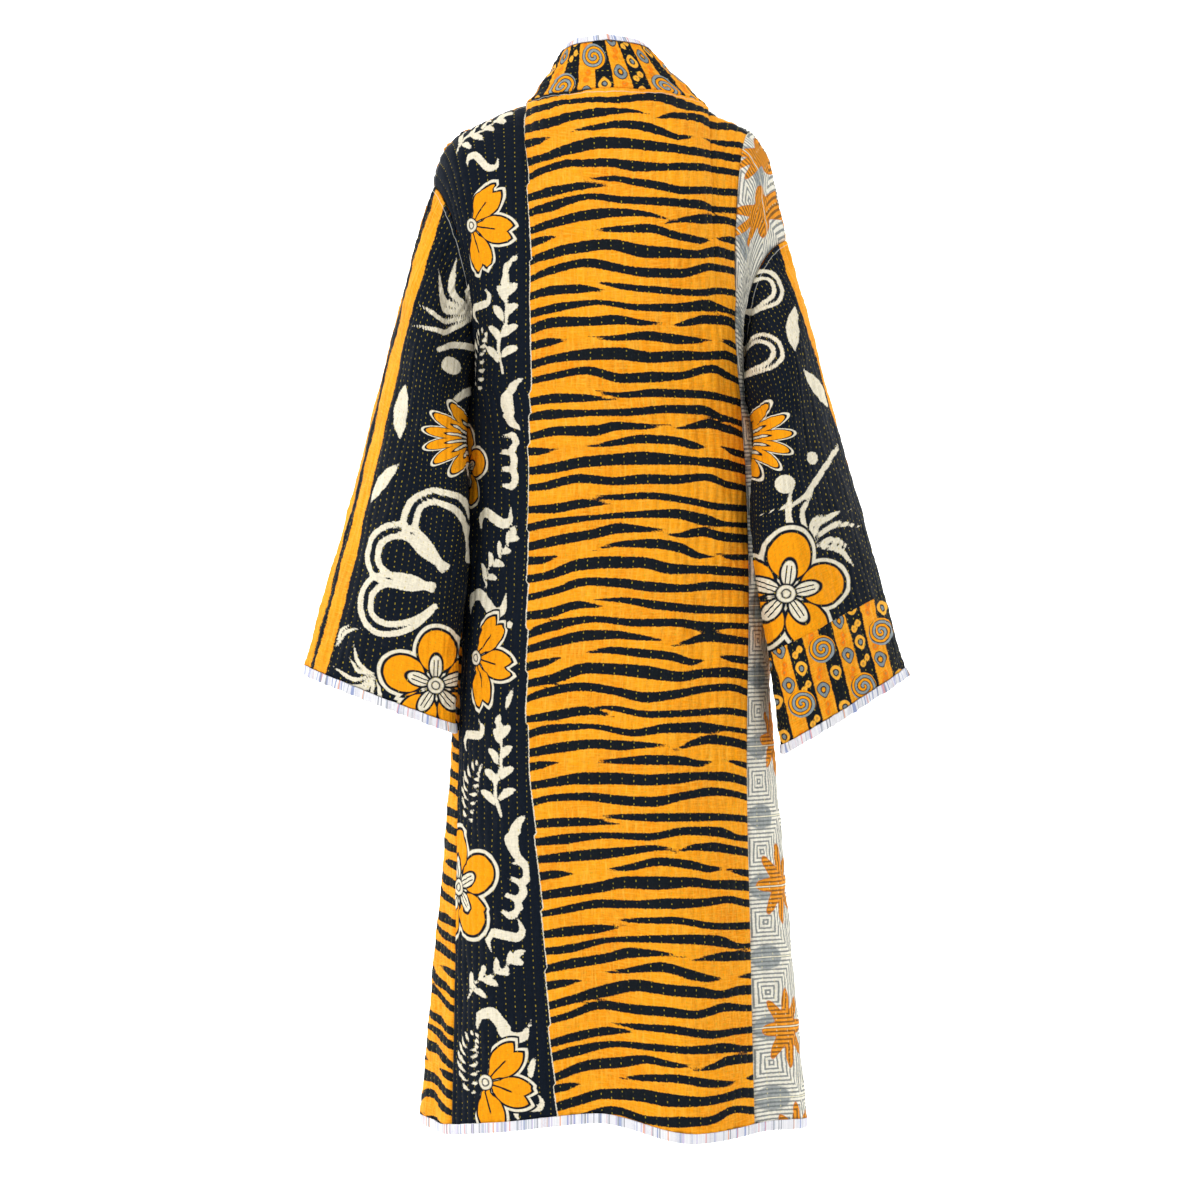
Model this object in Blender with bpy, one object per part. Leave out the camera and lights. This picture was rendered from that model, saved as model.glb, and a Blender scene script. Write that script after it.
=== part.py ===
"""A long kantha coat, worn open and filled out with no wearer. Metres, +Z up, the wearer faces -Y.

The origin is at the back of the neck, where the collar is sewn on. The wearer's left is +X.
Every piece of cloth is a thin wall: a grid of points on its outer face, quilting ridges raised
from it, and a plain inner face behind.
"""

import math

import bmesh
import bpy
import numpy as np

# Cloth and sewing
WALL = 0.0025  # three layers of old sari cotton, quilted together
RIDGE = 0.0008  # how far the cloth swells between two rows of running stitch
SEAM = 0.0003  # space between two pieces where they are sewn
COLLAR_BINDING = 0.007  # width of the binding that shows
EDGE_BINDING = 0.011
BINDING_THICK = 0.0038

# Rows of quilting that run up each piece, and rows of points that run across it
BACK_ROWS = 33
STRIP_ROWS = 6
LEFT_FRONT_ROWS = 22
RIGHT_FRONT_ROWS = 15
COLLAR_ROWS = 6
SKIRT_STEPS = 5  # hem to underarm
YOKE_STEPS = 7  # underarm to shoulder
SLEEVE_COLUMNS_PER_STEP = 6

# Body below the arms, seen from behind: depth of the section below the neck, then its
# half widths to the wearer's left and right, and how far the back and the front stand out.
BODY = (
    # below, left,  right, back,  front
    (0.330, 0.151, 0.155, 0.124, 0.122),
    (0.450, 0.158, 0.166, 0.128, 0.126),
    (0.550, 0.163, 0.174, 0.131, 0.130),
    (0.734, 0.172, 0.186, 0.138, 0.137),
    (0.930, 0.187, 0.203, 0.145, 0.144),
    (1.125, 0.207, 0.221, 0.151, 0.149),
)
UNDERARM = BODY[0][0]
HEM = BODY[-1][0]
FULLNESS = 0.9  # under 1 squares the section a little

# Where the two seams of the back cloth lie, as distances from the middle
BACK_SEAMS = (
    # below, left,  right
    (0.330, 0.151, 0.147),
    (0.450, 0.154, 0.154),
    (0.550, 0.158, 0.156),
    (0.734, 0.164, 0.153),
    (0.930, 0.167, 0.158),
    (1.125, 0.167, 0.163),
)

# Flutes of the skirt: place round the body (0 back, 1 left side, 2 front, -1 right side),
# half width in the same measure, how far it swells at the hem, and how high it reaches.
FLUTES = (
    # place, spread, swell, reach
    (-0.27, 0.15, 0.012, 0.62),
    (0.03, 0.13, -0.012, 0.50),
    (0.42, 0.17, 0.011, 0.66),
    (-0.62, 0.12, -0.008, 0.40),
    (0.80, 0.10, -0.008, 0.45),
    (1.32, 0.13, 0.010, 0.60),
    (1.60, 0.10, -0.007, 0.42),
    (-1.28, 0.13, 0.011, 0.55),
    (-1.56, 0.10, -0.008, 0.45),
)

# The hem is a little uneven: place round the body, and how far it rises above HEM
HEM_RISE = (
    # place, rise
    (-2.0, -0.002),
    (-1.0, -0.005),
    (-0.60, 0.000),
    (-0.27, -0.006),
    (0.03, 0.015),
    (0.40, 0.004),
    (0.70, -0.004),
    (1.0, -0.001),
    (2.0, 0.000),
)

# Shoulder ridges, from the neck out to the tip where the sleeve is sewn on
LEFT_RIDGE = (
    # out,   down
    (0.0905, 0.0105),
    (0.1220, 0.0231),
    (0.1390, 0.0319),
    (0.1595, 0.0407),
    (0.1770, 0.0560),
    (0.1860, 0.0737),
    (0.1930, 0.1000),
)
RIGHT_RIDGE = (
    # out,   down
    (0.1130, 0.0165),
    (0.1210, 0.0231),
    (0.1410, 0.0319),
    (0.1584, 0.0407),
    (0.1720, 0.0560),
    (0.1804, 0.0737),
    (0.1870, 0.1067),
    (0.1947, 0.1400),
    (0.1995, 0.1600),
)
STRIP_TOP = 0.158  # distance from the middle at which the side strip's seam meets the ridge
NECK_BACK = 0.058  # how far the neck seam stands behind the shoulders
NECK_TOP = 0.001

# How the cloth leaves the underarm level and how it arrives at the top edge, across the back
# from the right armhole to the left one. Each is a direction with its pull in metres.
BACK_PULLS = (
    # place, leaves x,   y,     z,    arrives x, y,     z
    (-1.00, (0.050, 0.160, 0.200), (-0.120, -0.190, 0.055)),
    (-0.72, (0.040, 0.100, 0.260), (-0.050, -0.190, 0.020)),
    (-0.45, (0.010, 0.060, 0.320), (0.000, -0.230, 0.090)),
    (0.00, (0.000, 0.030, 0.330), (0.000, -0.130, 0.240)),
    (0.40, (-0.010, 0.055, 0.320), (0.000, -0.230, 0.110)),
    (0.70, (-0.030, 0.110, 0.280), (0.020, -0.200, 0.000)),
    (1.00, (-0.060, 0.200, 0.250), (0.070, -0.210, 0.060)),
)
# The same across each front, from the armhole (0) to the band seam (1)
LEFT_FRONT_PULLS = (
    (0.00, (-0.030, -0.190, 0.250), (0.060, 0.210, 0.060)),
    (0.45, (0.000, -0.060, 0.300), (0.000, 0.190, 0.000)),
    (1.00, (0.000, -0.020, 0.300), (0.000, 0.160, 0.110)),
)
RIGHT_FRONT_PULLS = (
    (0.00, (0.030, -0.170, 0.190), (-0.090, 0.195, 0.055)),
    (0.45, (0.010, -0.060, 0.300), (-0.010, 0.190, 0.000)),
    (1.00, (0.000, -0.020, 0.300), (0.000, 0.160, 0.110)),
)

# Collar band: it stands at the neck, lies flat down both front edges and ends at the hem
BAND_SEAM = 0.082  # distance of its seam from the middle, down the fronts
BAND_EDGE = 0.020  # distance of its free edge from the middle
COLLAR_EDGE = (
    # along (0 middle of the back, 1 shoulder, 2 underarm level), out, behind, above
    (0.00, 0.0000, 0.0460, 0.0560),
    (0.50, 0.0370, 0.0340, 0.0515),
    (1.00, 0.0530, 0.0030, 0.0390),
    (1.15, 0.0490, -0.0300, 0.0120),
    (1.35, 0.0390, -0.0640, -0.0450),
    (1.60, 0.0270, -0.0960, -0.1280),
    (1.80, 0.0220, -0.1130, -0.2150),
    (2.00, 0.0200, -0.1210, -0.3300),
)

# Sleeve rings below the upper arm: the point farthest out, the point nearest the body,
# and half the depth between them.
LEFT_SLEEVE = (
    # outer x, y, z             inner x, y, z            half depth
    ((0.229, -0.005, -0.235), (0.163, 0.038, -0.375), 0.092),
    ((0.262, -0.010, -0.362), (0.157, 0.060, -0.450), 0.085),
    ((0.295, -0.012, -0.485), (0.160, 0.065, -0.550), 0.074),
    ((0.318, -0.012, -0.567), (0.164, 0.063, -0.633), 0.062),
    ((0.335, -0.010, -0.631), (0.167, 0.058, -0.694), 0.050),
)
RIGHT_SLEEVE = (
    ((-0.2235, -0.005, -0.250), (-0.169, 0.038, -0.378), 0.092),
    ((-0.2530, -0.010, -0.360), (-0.163, 0.062, -0.462), 0.085),
    ((-0.2870, -0.012, -0.478), (-0.171, 0.068, -0.570), 0.074),
    ((-0.3120, -0.012, -0.570), (-0.181, 0.066, -0.660), 0.062),
    ((-0.3300, -0.010, -0.634), (-0.191, 0.060, -0.717), 0.050),
)
SLEEVE_HEAD_STEPS = (0.0, 0.07, 0.16, 0.28, 0.44, 0.68)
PIECING_STEPS = 4  # rows from the upper arm to the seam where the right sleeve changes cloth
CUFF_STEPS = 3  # rows from there to the cuff
PIECING_OUTSIDE = 0.69  # how far down from the upper arm that seam lies, outside and inside
PIECING_INSIDE = 0.62

COLOURS = {
    # sRGB, 0 to 1
    "printed": (0.88, 0.55, 0.08),
    "grey": (0.62, 0.60, 0.55),
    "sleeve": (0.07, 0.09, 0.14),
    "striped": (0.72, 0.45, 0.09),
    "binding": (0.90, 0.90, 0.90),
}


def unit(vectors):
    """The same directions at length 1."""
    vectors = np.asarray(vectors, float)
    return vectors / np.linalg.norm(vectors, axis=-1, keepdims=True)


def smooth_table(table, at):
    """Reads a table whose first column rises, along a smooth curve that doesn't overshoot."""
    rows = np.array([np.hstack(row) for row in table], float)
    places, values = rows[:, 0], rows[:, 1:]
    steps = np.diff(places)[:, None]
    slopes = np.diff(values, axis=0) / steps
    bends = np.zeros_like(values)
    product = slopes[:-1] * slopes[1:]
    together = np.where(product > 0, slopes[:-1] + slopes[1:], 1.0)
    bends[1:-1] = np.where(product > 0, 2 * product / together, 0.0)
    bends[0], bends[-1] = slopes[0], slopes[-1]
    at = np.clip(np.atleast_1d(at).astype(float), places[0], places[-1])
    row = np.clip(np.searchsorted(places, at, side="right") - 1, 0, len(places) - 2)
    part = ((at - places[row]) / steps[row, 0])[:, None]
    return hermite(values[row], bends[row] * steps[row], values[row + 1], bends[row + 1] * steps[row], part)


def hermite(start, leaves, end, arrives, part):
    """The point a part of the way along a curve with these ends and pulls."""
    square, cube = part**2, part**3
    return (
        (2 * cube - 3 * square + 1) * start
        + (cube - 2 * square + part) * leaves
        + (3 * square - 2 * cube) * end
        + (cube - square) * arrives
    )


def along_line(points, parts):
    """Points a part of the length along a line of points."""
    lengths = np.concatenate([[0], np.cumsum(np.linalg.norm(np.diff(points, axis=0), axis=1))])
    wanted = np.asarray(parts) * lengths[-1]
    return np.stack([np.interp(wanted, lengths, points[:, axis]) for axis in range(3)], axis=-1)


def grid_normals(points, inwards=False):
    """Directions square to a grid of points: rows go up, columns go round to the wearer's left."""
    up = np.gradient(points, axis=0)
    across = np.gradient(points, axis=1)
    normals = unit(np.cross(up, across))
    return -normals if inwards else normals


def body_section(below):
    left, right, back, front = smooth_table(BODY, below)[0]
    return left, right, back, front


def body_point(below, place):
    """A point on the skirt. place is 0 at the middle of the back, 1 and -1 at the sides."""
    left, right, back, front = body_section(below)
    turn = place * math.pi / 2
    half = left if place > 0 else right
    depth = back if abs(place) < 1 else front
    x = half * math.sin(turn)
    y = depth * math.copysign(abs(math.cos(turn)) ** FULLNESS, math.cos(turn))
    above_hem = HEM - below
    swell = 0.0
    for middle, spread, most, reach in FLUTES:
        fade = max(0.0, 1 - above_hem / reach) ** 1.4
        swell += most * fade * math.exp(-(((place - middle) / spread) ** 2))
    out = unit((x / half**2, y / depth**2, 0))
    rise = smooth_table(HEM_RISE, place)[0][0] * max(0.0, 1 - above_hem / 0.35)
    return np.array((x, y, rise - below)) + out * swell


def place_of(below, distance, side):
    """The place round the back at which the body is this far from the middle."""
    half = body_section(below)[0 if side > 0 else 1]
    return side * math.asin(min(1.0, distance / half)) * 2 / math.pi


def front_place(below, distance, side):
    """The same, round the front."""
    return side * 2 - place_of(below, distance, side)


def ridge(table, side):
    """A shoulder ridge as points, from the neck to the sleeve."""
    lengths = np.linspace(0, 1, 4 * len(table))
    rows = [(part,) + row for part, row in zip(np.linspace(0, 1, len(table)), table)]
    curve = smooth_table(rows, lengths)
    return np.stack([side * curve[:, 0], np.zeros(len(curve)), -curve[:, 1]], axis=-1)


def neck_curve(count):
    """The back neck seam, from the right shoulder to the left one."""
    turn = np.linspace(math.pi, 0, count)
    left, right = LEFT_RIDGE[0], RIGHT_RIDGE[0]
    middle = (left[0] - right[0]) / 2
    half = (left[0] + right[0]) / 2
    ends = np.where(turn < math.pi / 2, left[1], right[1])
    z = NECK_TOP - (ends + NECK_TOP) * (1 - np.sin(turn))
    return np.stack([middle + half * np.cos(turn), NECK_BACK * np.sin(turn).clip(0) ** 1.6, z], axis=-1)


def skirt_levels():
    return np.linspace(HEM, UNDERARM, SKIRT_STEPS + 1)


def skirt_rows(first_place, last_place, columns):
    """Rows of points from the hem to the underarm, between two seams given as places."""
    rows = []
    for below in skirt_levels():
        places = np.linspace(first_place(below), last_place(below), columns + 1)
        rows.append([body_point(below, place) for place in places])
    return np.array(rows)


def yoke_rows(underarm_row, top_row, pulls, where):
    """Rows of points from the underarm to the top edge, left out the first."""
    values = smooth_table(pulls, where)
    leaves, arrives = values[:, :3], values[:, 3:]
    parts = np.linspace(0, 1, YOKE_STEPS + 1)[1:]
    return np.array([hermite(underarm_row, leaves, top_row, arrives, part) for part in parts])


def ridge_normals(points):
    """Square to a shoulder ridge, upwards and out."""
    along = np.gradient(points, axis=0)
    normals = np.stack([-along[:, 2], np.zeros(len(points)), along[:, 0]], axis=-1)
    return unit(np.where(normals[:, 2:] < 0, -normals, normals))


def eased(points, space, first_row=False, last_row=False, first_column=False, last_column=False):
    """Draws the chosen edges of a grid back by this space."""
    points = points.copy()
    if first_row:
        points[0] += unit(points[1] - points[0]) * space
    if last_row:
        points[-1] += unit(points[-2] - points[-1]) * space
    if first_column:
        points[:, 0] += unit(points[:, 1] - points[:, 0]) * space
    if last_column:
        points[:, -1] += unit(points[:, -2] - points[:, -1]) * space
    return points


def cloth_material(name, colour, roughness=0.85):
    material = bpy.data.materials.new(name)
    material.use_nodes = True
    linear = [((c + 0.055) / 1.055) ** 2.4 if c > 0.04045 else c / 12.92 for c in colour]
    shader = material.node_tree.nodes["Principled BSDF"]
    shader.inputs["Base Color"].default_value = (*linear, 1)
    shader.inputs["Roughness"].default_value = roughness
    shader.inputs["Metallic"].default_value = 0.0
    material.diffuse_color = (*linear, 1)
    return material


def finished_object(name, bm, finish):
    bmesh.ops.recalc_face_normals(bm, faces=bm.faces)
    mesh = bpy.data.meshes.new(name)
    bm.to_mesh(mesh)
    bm.free()
    mesh.shade_smooth()
    mesh.materials.append(MATERIALS[finish])
    obj = bpy.data.objects.new(name, mesh)
    bpy.context.scene.collection.objects.link(obj)
    return obj


def quilted_wall(name, points, normals, heights, skip, tube, finish):
    """A piece of quilted cloth. skip is how many outer columns each inner column stands for."""
    bm = bmesh.new()
    outer = points + normals * heights[..., None]
    kept = slice(None, None, skip)
    inner = points[:, kept] - normals[:, kept] * WALL
    outside = [[bm.verts.new(point) for point in row] for row in outer]
    inside = [[bm.verts.new(point) for point in row] for row in inner]
    rows, columns, pairs = len(outside), len(outside[0]), len(inside[0])
    steps, inner_steps = (columns, pairs) if tube else (columns - 1, pairs - 1)
    for low in range(rows - 1):
        high = low + 1
        for j in range(steps):
            k = (j + 1) % columns
            bm.faces.new((outside[low][j], outside[low][k], outside[high][k], outside[high][j]))
        for j in range(inner_steps):
            k = (j + 1) % pairs
            bm.faces.new((inside[low][k], inside[low][j], inside[high][j], inside[high][k]))
        if not tube:
            bm.faces.new((outside[low][0], outside[high][0], inside[high][0], inside[low][0]))
            bm.faces.new((outside[low][-1], inside[low][-1], inside[high][-1], outside[high][-1]))
    for row in (0, rows - 1):
        for j in range(inner_steps):
            edge = [outside[row][(j * skip + step) % columns] for step in range(skip + 1)]
            edge += [inside[row][(j + 1) % pairs], inside[row][j]]
            bm.faces.new(edge)
    bmesh.ops.triangulate(bm, faces=[face for face in bm.faces if len(face.verts) > 4])
    return finished_object(name, bm, finish)


def ridges(shape, flat_edge=3):
    """Heights of the quilting: every second column is raised, but for the flat seam edges."""
    heights = np.zeros(shape)
    heights[:, flat_edge : shape[1] - flat_edge : 2] = RIDGE
    return heights


def binding_strip(name, edge, outwards, normals, width, ring, finish="binding"):
    """A folded strip sewn round an edge: thick as the cloth it grips, with a rounded fold."""
    middle = edge - normals * (WALL - RIDGE) / 2
    half = normals * BINDING_THICK / 2
    start, full = SEAM, SEAM + width
    shoulder = SEAM + width * 0.72
    profile = (
        middle + outwards * start + half,
        middle + outwards * shoulder + half,
        middle + outwards * full,
        middle + outwards * shoulder - half,
        middle + outwards * start - half,
    )
    bm = bmesh.new()
    sections = [[bm.verts.new(side[i]) for side in profile] for i in range(len(edge))]
    count = len(sections)
    for i in range(count if ring else count - 1):
        here, there = sections[i], sections[(i + 1) % count]
        for j in range(len(profile)):
            k = (j + 1) % len(profile)
            bm.faces.new((here[j], here[k], there[k], there[j]))
    if not ring:
        bm.faces.new(sections[0])
        bm.faces.new(sections[-1])
    return finished_object(name, bm, finish)


def build_back():
    """The back cloth: from the side strip's seam on the right to the side seam on the left."""
    columns = 2 * BACK_ROWS
    right_ridge, left_ridge = ridge(RIGHT_RIDGE, -1), ridge(LEFT_RIDGE, 1)
    inner_right = right_ridge[np.abs(right_ridge[:, 0]) <= STRIP_TOP]
    strip_top = strip_top_point(right_ridge)
    inner_right = np.vstack([inner_right, strip_top])
    over_right = inner_right[::-1]
    pieces = (over_right, neck_curve(200), left_ridge)
    lengths = [np.linalg.norm(np.diff(p, axis=0), axis=1).sum() for p in pieces]
    right_count = round(columns * lengths[0] / sum(lengths))
    left_count = round(columns * lengths[2] / sum(lengths))
    counts = (right_count, columns - right_count - left_count, left_count)
    top = [along_line(p, np.linspace(0, 1, n + 1)) for p, n in zip(pieces, counts)]
    top_row = np.vstack([top[0][:-1], top[1], top[2][1:]])
    skirt = skirt_rows(
        lambda below: place_of(below, smooth_table(BACK_SEAMS, below)[0][1], -1),
        lambda below: place_of(below, smooth_table(BACK_SEAMS, below)[0][0], 1),
        columns,
    )
    where = np.linspace(-0.72, 1, columns + 1)
    yoke = yoke_rows(skirt[-1], top_row, BACK_PULLS, where)
    points = np.concatenate([skirt, yoke])
    normals = grid_normals(points)
    over = np.zeros(columns + 1, bool)
    over[: counts[0] + 1] = True
    over[counts[0] + counts[1] :] = True
    normals[-1] = blended_top_normals(top_row, normals[-1], over)
    neck = slice(counts[0], counts[0] + counts[1] + 1)
    return points, normals, neck


def strip_top_point(right_ridge):
    distance = np.abs(right_ridge[:, 0])
    down = np.interp(STRIP_TOP, distance, -right_ridge[:, 2])
    return np.array((-STRIP_TOP, 0.0, -down))


def blended_top_normals(top_row, own, over):
    """Square to the ridge over the shoulders, turning to the cloth's own direction at the neck."""
    shared = ridge_normals(top_row)
    neck = np.flatnonzero(~over)
    blend = np.zeros(len(top_row))
    reach = 8
    blend[neck] = np.clip(np.minimum(neck - neck[0] + 1, neck[-1] - neck + 1) / reach, 0, 1)
    neck_ends = np.array([shared[max(neck[0] - 2, 0)], shared[min(neck[-1] + 2, len(shared) - 1)]])
    nearest = np.where(np.arange(len(top_row)) < neck.mean(), 0, 1)
    base = np.where(over[:, None], shared, neck_ends[nearest])
    return unit(base * (1 - blend[:, None]) + own * blend[:, None])


def build_strip():
    """The grey strip between the back cloth and the right side seam."""
    columns = 2 * STRIP_ROWS
    right_ridge = ridge(RIGHT_RIDGE, -1)
    outer = right_ridge[np.abs(right_ridge[:, 0]) >= STRIP_TOP]
    line = np.vstack([strip_top_point(right_ridge), outer])[::-1]
    top_row = along_line(line, np.linspace(0, 1, columns + 1))
    skirt = skirt_rows(
        lambda below: -1.0,
        lambda below: place_of(below, smooth_table(BACK_SEAMS, below)[0][1], -1),
        columns,
    )
    yoke = yoke_rows(skirt[-1], top_row, BACK_PULLS, np.linspace(-1, -0.72, columns + 1))
    points = np.concatenate([skirt, yoke])
    normals = grid_normals(points)
    normals[-1] = ridge_normals(top_row)
    return points, normals


def build_front(side, rows, table, pulls, first_place):
    """A front, from its side seam or armhole to the band seam."""
    columns = 2 * rows
    line = ridge(table, side)[::-1]
    top_row = along_line(line, np.linspace(0, 1, columns + 1))
    skirt = skirt_rows(first_place, lambda below: front_place(below, BAND_SEAM, side), columns)
    yoke = yoke_rows(skirt[-1], top_row, pulls, np.linspace(0, 1, columns + 1))
    points = np.concatenate([skirt, yoke])
    normals = grid_normals(points, inwards=side < 0)
    normals[-1] = ridge_normals(top_row)
    return points, normals


def share_seam(one, other, rows, one_column, other_column):
    """Gives both pieces at a seam the same direction through the cloth."""
    shared = unit(one[rows, one_column] + other[rows, other_column])
    one[rows, one_column] = shared
    other[rows, other_column] = shared


def armhole(back_points, back_normals, front_points, front_normals):
    """The armhole as a closed line from the shoulder tip, down the back edge and up the front."""
    down_back = slice(None, SKIRT_STEPS - 1, -1)
    up_front = slice(SKIRT_STEPS + 1, None)
    corners = np.vstack([back_points[down_back], front_points[up_front][:-1]])
    directions = np.vstack([back_normals[down_back], front_normals[up_front][:-1]])
    count = len(corners)
    steps = np.arange(count * SLEEVE_COLUMNS_PER_STEP)
    first = steps // SLEEVE_COLUMNS_PER_STEP
    part = (steps % SLEEVE_COLUMNS_PER_STEP / SLEEVE_COLUMNS_PER_STEP)[:, None]
    second = (first + 1) % count
    points = corners[first] * (1 - part) + corners[second] * part
    normals = unit(directions[first] * (1 - part) + directions[second] * part)
    return points, normals


def sleeve_ring(row, turns):
    outer, inner, depth = (np.array(value) for value in row)
    middle, half = (outer + inner) / 2, (outer - inner) / 2
    back = np.array((0, 1, 0)) * depth
    return middle + np.outer(np.cos(turns), half) + np.outer(np.sin(turns), back)


def build_sleeve(side, start, start_normals, table):
    """Rings of a sleeve, from the armhole to the cuff."""
    columns = len(start)
    turns = np.linspace(0, 2 * math.pi, columns, endpoint=False)
    loop = np.roll(start, -1, axis=0) - np.roll(start, 1, axis=0)
    leaves = unit(np.cross(loop, start_normals)) * side
    near_tip = ((1 + np.cos(turns)) / 2) ** 3
    leaves = leaves * (0.045 + 0.040 * near_tip)[:, None]
    rings = np.array([sleeve_ring(row, turns) for row in table])
    arrives = rings[1] - rings[0]
    head = [hermite(start, leaves, rings[0], arrives, part) for part in SLEEVE_HEAD_STEPS]
    places = np.linspace(0, 1, len(table))
    middle = (PIECING_OUTSIDE + PIECING_INSIDE) / 2
    slant = (PIECING_OUTSIDE - PIECING_INSIDE) / 2
    lower = []
    for column, turn in enumerate(turns):
        seam = middle + slant * math.cos(turn)
        parts = np.hstack([np.linspace(0, seam, PIECING_STEPS + 1), np.linspace(seam, 1, CUFF_STEPS + 1)[1:]])
        lower.append(smooth_table(list(zip(places, rings[:, column])), parts))
    points = np.concatenate([head, np.stack(lower, axis=1)])
    normals = tube_normals(points, side)
    normals[0] = start_normals
    return points, normals


def tube_normals(points, side):
    up = np.gradient(points, axis=0)
    across = np.roll(points, -1, axis=1) - np.roll(points, 1, axis=1)
    return unit(np.cross(up, across)) * side


def build_collar(back, neck, left, right):
    """The band: up the right front, round the neck, and down the left front."""
    back_points, back_normals = back
    seam = [right[0][:-1, -1], back_points[-1, neck], left[0][:-1, -1][::-1]]
    rims = [right[1][:-1, -1], back_normals[-1, neck], left[1][:-1, -1][::-1]]
    seam, rims = np.vstack(seam), np.vstack(rims)
    low, yoke = SKIRT_STEPS, YOKE_STEPS
    around = len(back_points[-1, neck])
    up = np.concatenate([np.full(low, 2.0), np.linspace(2, 1, yoke + 1)[:-1]])
    across = np.abs(np.linspace(-1, 1, around))
    stations = np.concatenate([up, across, up[::-1]])
    sides = np.sign(np.linspace(-1, 1, len(stations)))
    table = smooth_table(COLLAR_EDGE, stations)
    edge = np.stack([sides * table[:, 0], table[:, 1], table[:, 2]], axis=-1)
    for i, below in enumerate(skirt_levels()[:-1]):
        for side, at in ((-1, i), (1, len(stations) - 1 - i)):
            edge[at] = body_point(below, front_place(below, BAND_EDGE, side))
    along = np.gradient(seam, axis=0)
    leaves = unit(np.cross(along, rims))
    reach = np.linalg.norm(edge - seam, axis=1)[:, None]
    neckline = np.clip((2 - stations) / 0.6, 0, 1)[:, None]
    leaves = leaves * reach * (0.9 - 0.2 * neckline)
    straight = edge - seam
    rows = [
        hermite(seam, leaves, edge, straight, part)
        for part in np.linspace(0, 1, 2 * COLLAR_ROWS + 1)
    ]
    points = np.transpose(np.array(rows), (1, 0, 2))
    normals = grid_normals(points, inwards=True)
    normals[:, 0] = rims
    return points, normals


for leftover in list(bpy.data.objects):
    bpy.data.objects.remove(leftover)
MATERIALS = {finish: cloth_material(finish, colour) for finish, colour in COLOURS.items()}

back_points, back_normals, neck_columns = build_back()
strip_points, strip_normals = build_strip()
left_points, left_normals = build_front(
    1,
    LEFT_FRONT_ROWS,
    LEFT_RIDGE,
    LEFT_FRONT_PULLS,
    lambda below: place_of(below, smooth_table(BACK_SEAMS, below)[0][0], 1),
)
right_points, right_normals = build_front(
    -1, RIGHT_FRONT_ROWS, RIGHT_RIDGE, RIGHT_FRONT_PULLS, lambda below: -1.0
)

below_arm = slice(None, SKIRT_STEPS + 1)
share_seam(strip_normals, back_normals, slice(None), -1, 0)
share_seam(back_normals, left_normals, below_arm, -1, 0)
share_seam(right_normals, strip_normals, below_arm, 0, 0)

panels = (
    ("back_panel", back_points, back_normals, "printed"),
    ("back_side_strip", strip_points, strip_normals, "grey"),
    ("left_front", left_points, left_normals, "printed"),
    ("right_front", right_points, right_normals, "grey"),
)
for panel_name, panel_points, panel_normals, panel_finish in panels:
    space = SEAM if panel_name == "back_side_strip" else SEAM / 2
    drawn_in = eased(panel_points, space, last_row=True, first_column=True, last_column=True)
    heights = ridges(drawn_in.shape[:2])
    quilted_wall(panel_name, drawn_in, panel_normals, heights, 2, False, panel_finish)

sleeves = (
    (1, back_points[:, -1], back_normals[:, -1], left_points[:, 0], left_normals[:, 0], LEFT_SLEEVE),
    (-1, strip_points[:, 0], strip_normals[:, 0], right_points[:, 0], right_normals[:, 0], RIGHT_SLEEVE),
)
for sleeve_side, rear, rear_normals, fore, fore_normals, sleeve_table in sleeves:
    start, start_normals = armhole(rear, rear_normals, fore, fore_normals)
    points, normals = build_sleeve(sleeve_side, start, start_normals, sleeve_table)
    side_name = "left" if sleeve_side > 0 else "right"
    heights = ridges(points.shape[:2], flat_edge=1)
    heights[:2] = 0
    drawn_in = eased(points, SEAM, first_row=True)
    if sleeve_side < 0:
        pieced = slice(len(SLEEVE_HEAD_STEPS) + PIECING_STEPS, None)
        lower = eased(points[pieced], SEAM / 2, first_row=True)
        quilted_wall("right_sleeve_cuff_piece", lower, normals[pieced], heights[pieced], 3, True, "striped")
        upper = slice(None, pieced.start + 1)
        drawn_in = eased(drawn_in[upper], SEAM / 2, last_row=True)
        quilted_wall("right_sleeve", drawn_in, normals[upper], heights[upper], 3, True, "sleeve")
    else:
        quilted_wall("left_sleeve", drawn_in, normals, heights, 3, True, "sleeve")
    cuff = points[-1, ::2]
    downwards = unit(points[-1, ::2] - points[-2, ::2])
    binding_strip(f"{side_name}_cuff_binding", cuff, downwards, normals[-1, ::2], EDGE_BINDING, True)

collar_points, collar_normals = build_collar(
    (back_points, back_normals), neck_columns, (left_points, left_normals), (right_points, right_normals)
)
drawn_in = eased(collar_points, SEAM, first_column=True)
quilted_wall("collar_band", drawn_in, collar_normals, ridges(drawn_in.shape[:2]), 3, False, "striped")
outwards = unit(collar_points[:, -1] - collar_points[:, -2])
binding_strip("collar_binding", collar_points[:, -1], outwards, collar_normals[:, -1], COLLAR_BINDING, False)

hem_pieces = (
    (collar_points[0, ::-1], collar_normals[0, ::-1]),
    (right_points[0, ::-1], right_normals[0, ::-1]),
    (strip_points[0], strip_normals[0]),
    (back_points[0], back_normals[0]),
    (left_points[0], left_normals[0]),
    (collar_points[-1], collar_normals[-1]),
)
hem_edge = np.vstack([edge[:-1:2] for edge, _ in hem_pieces])
hem_normals = np.vstack([directions[:-1:2] for _, directions in hem_pieces])
overhang = outwards[[0, -1]] * (SEAM + COLLAR_BINDING)
corners = collar_points[[0, -1], -1]
hem_edge = np.vstack([corners[0] + overhang[0], hem_edge, corners[1] + overhang[1]])
hem_normals = np.vstack([collar_normals[0, -1], hem_normals, collar_normals[-1, -1]])
downwards = np.tile((0.0, 0.0, -1.0), (len(hem_edge), 1))
binding_strip("hem_binding", hem_edge, downwards, hem_normals, EDGE_BINDING, False)
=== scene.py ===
import math

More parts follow.
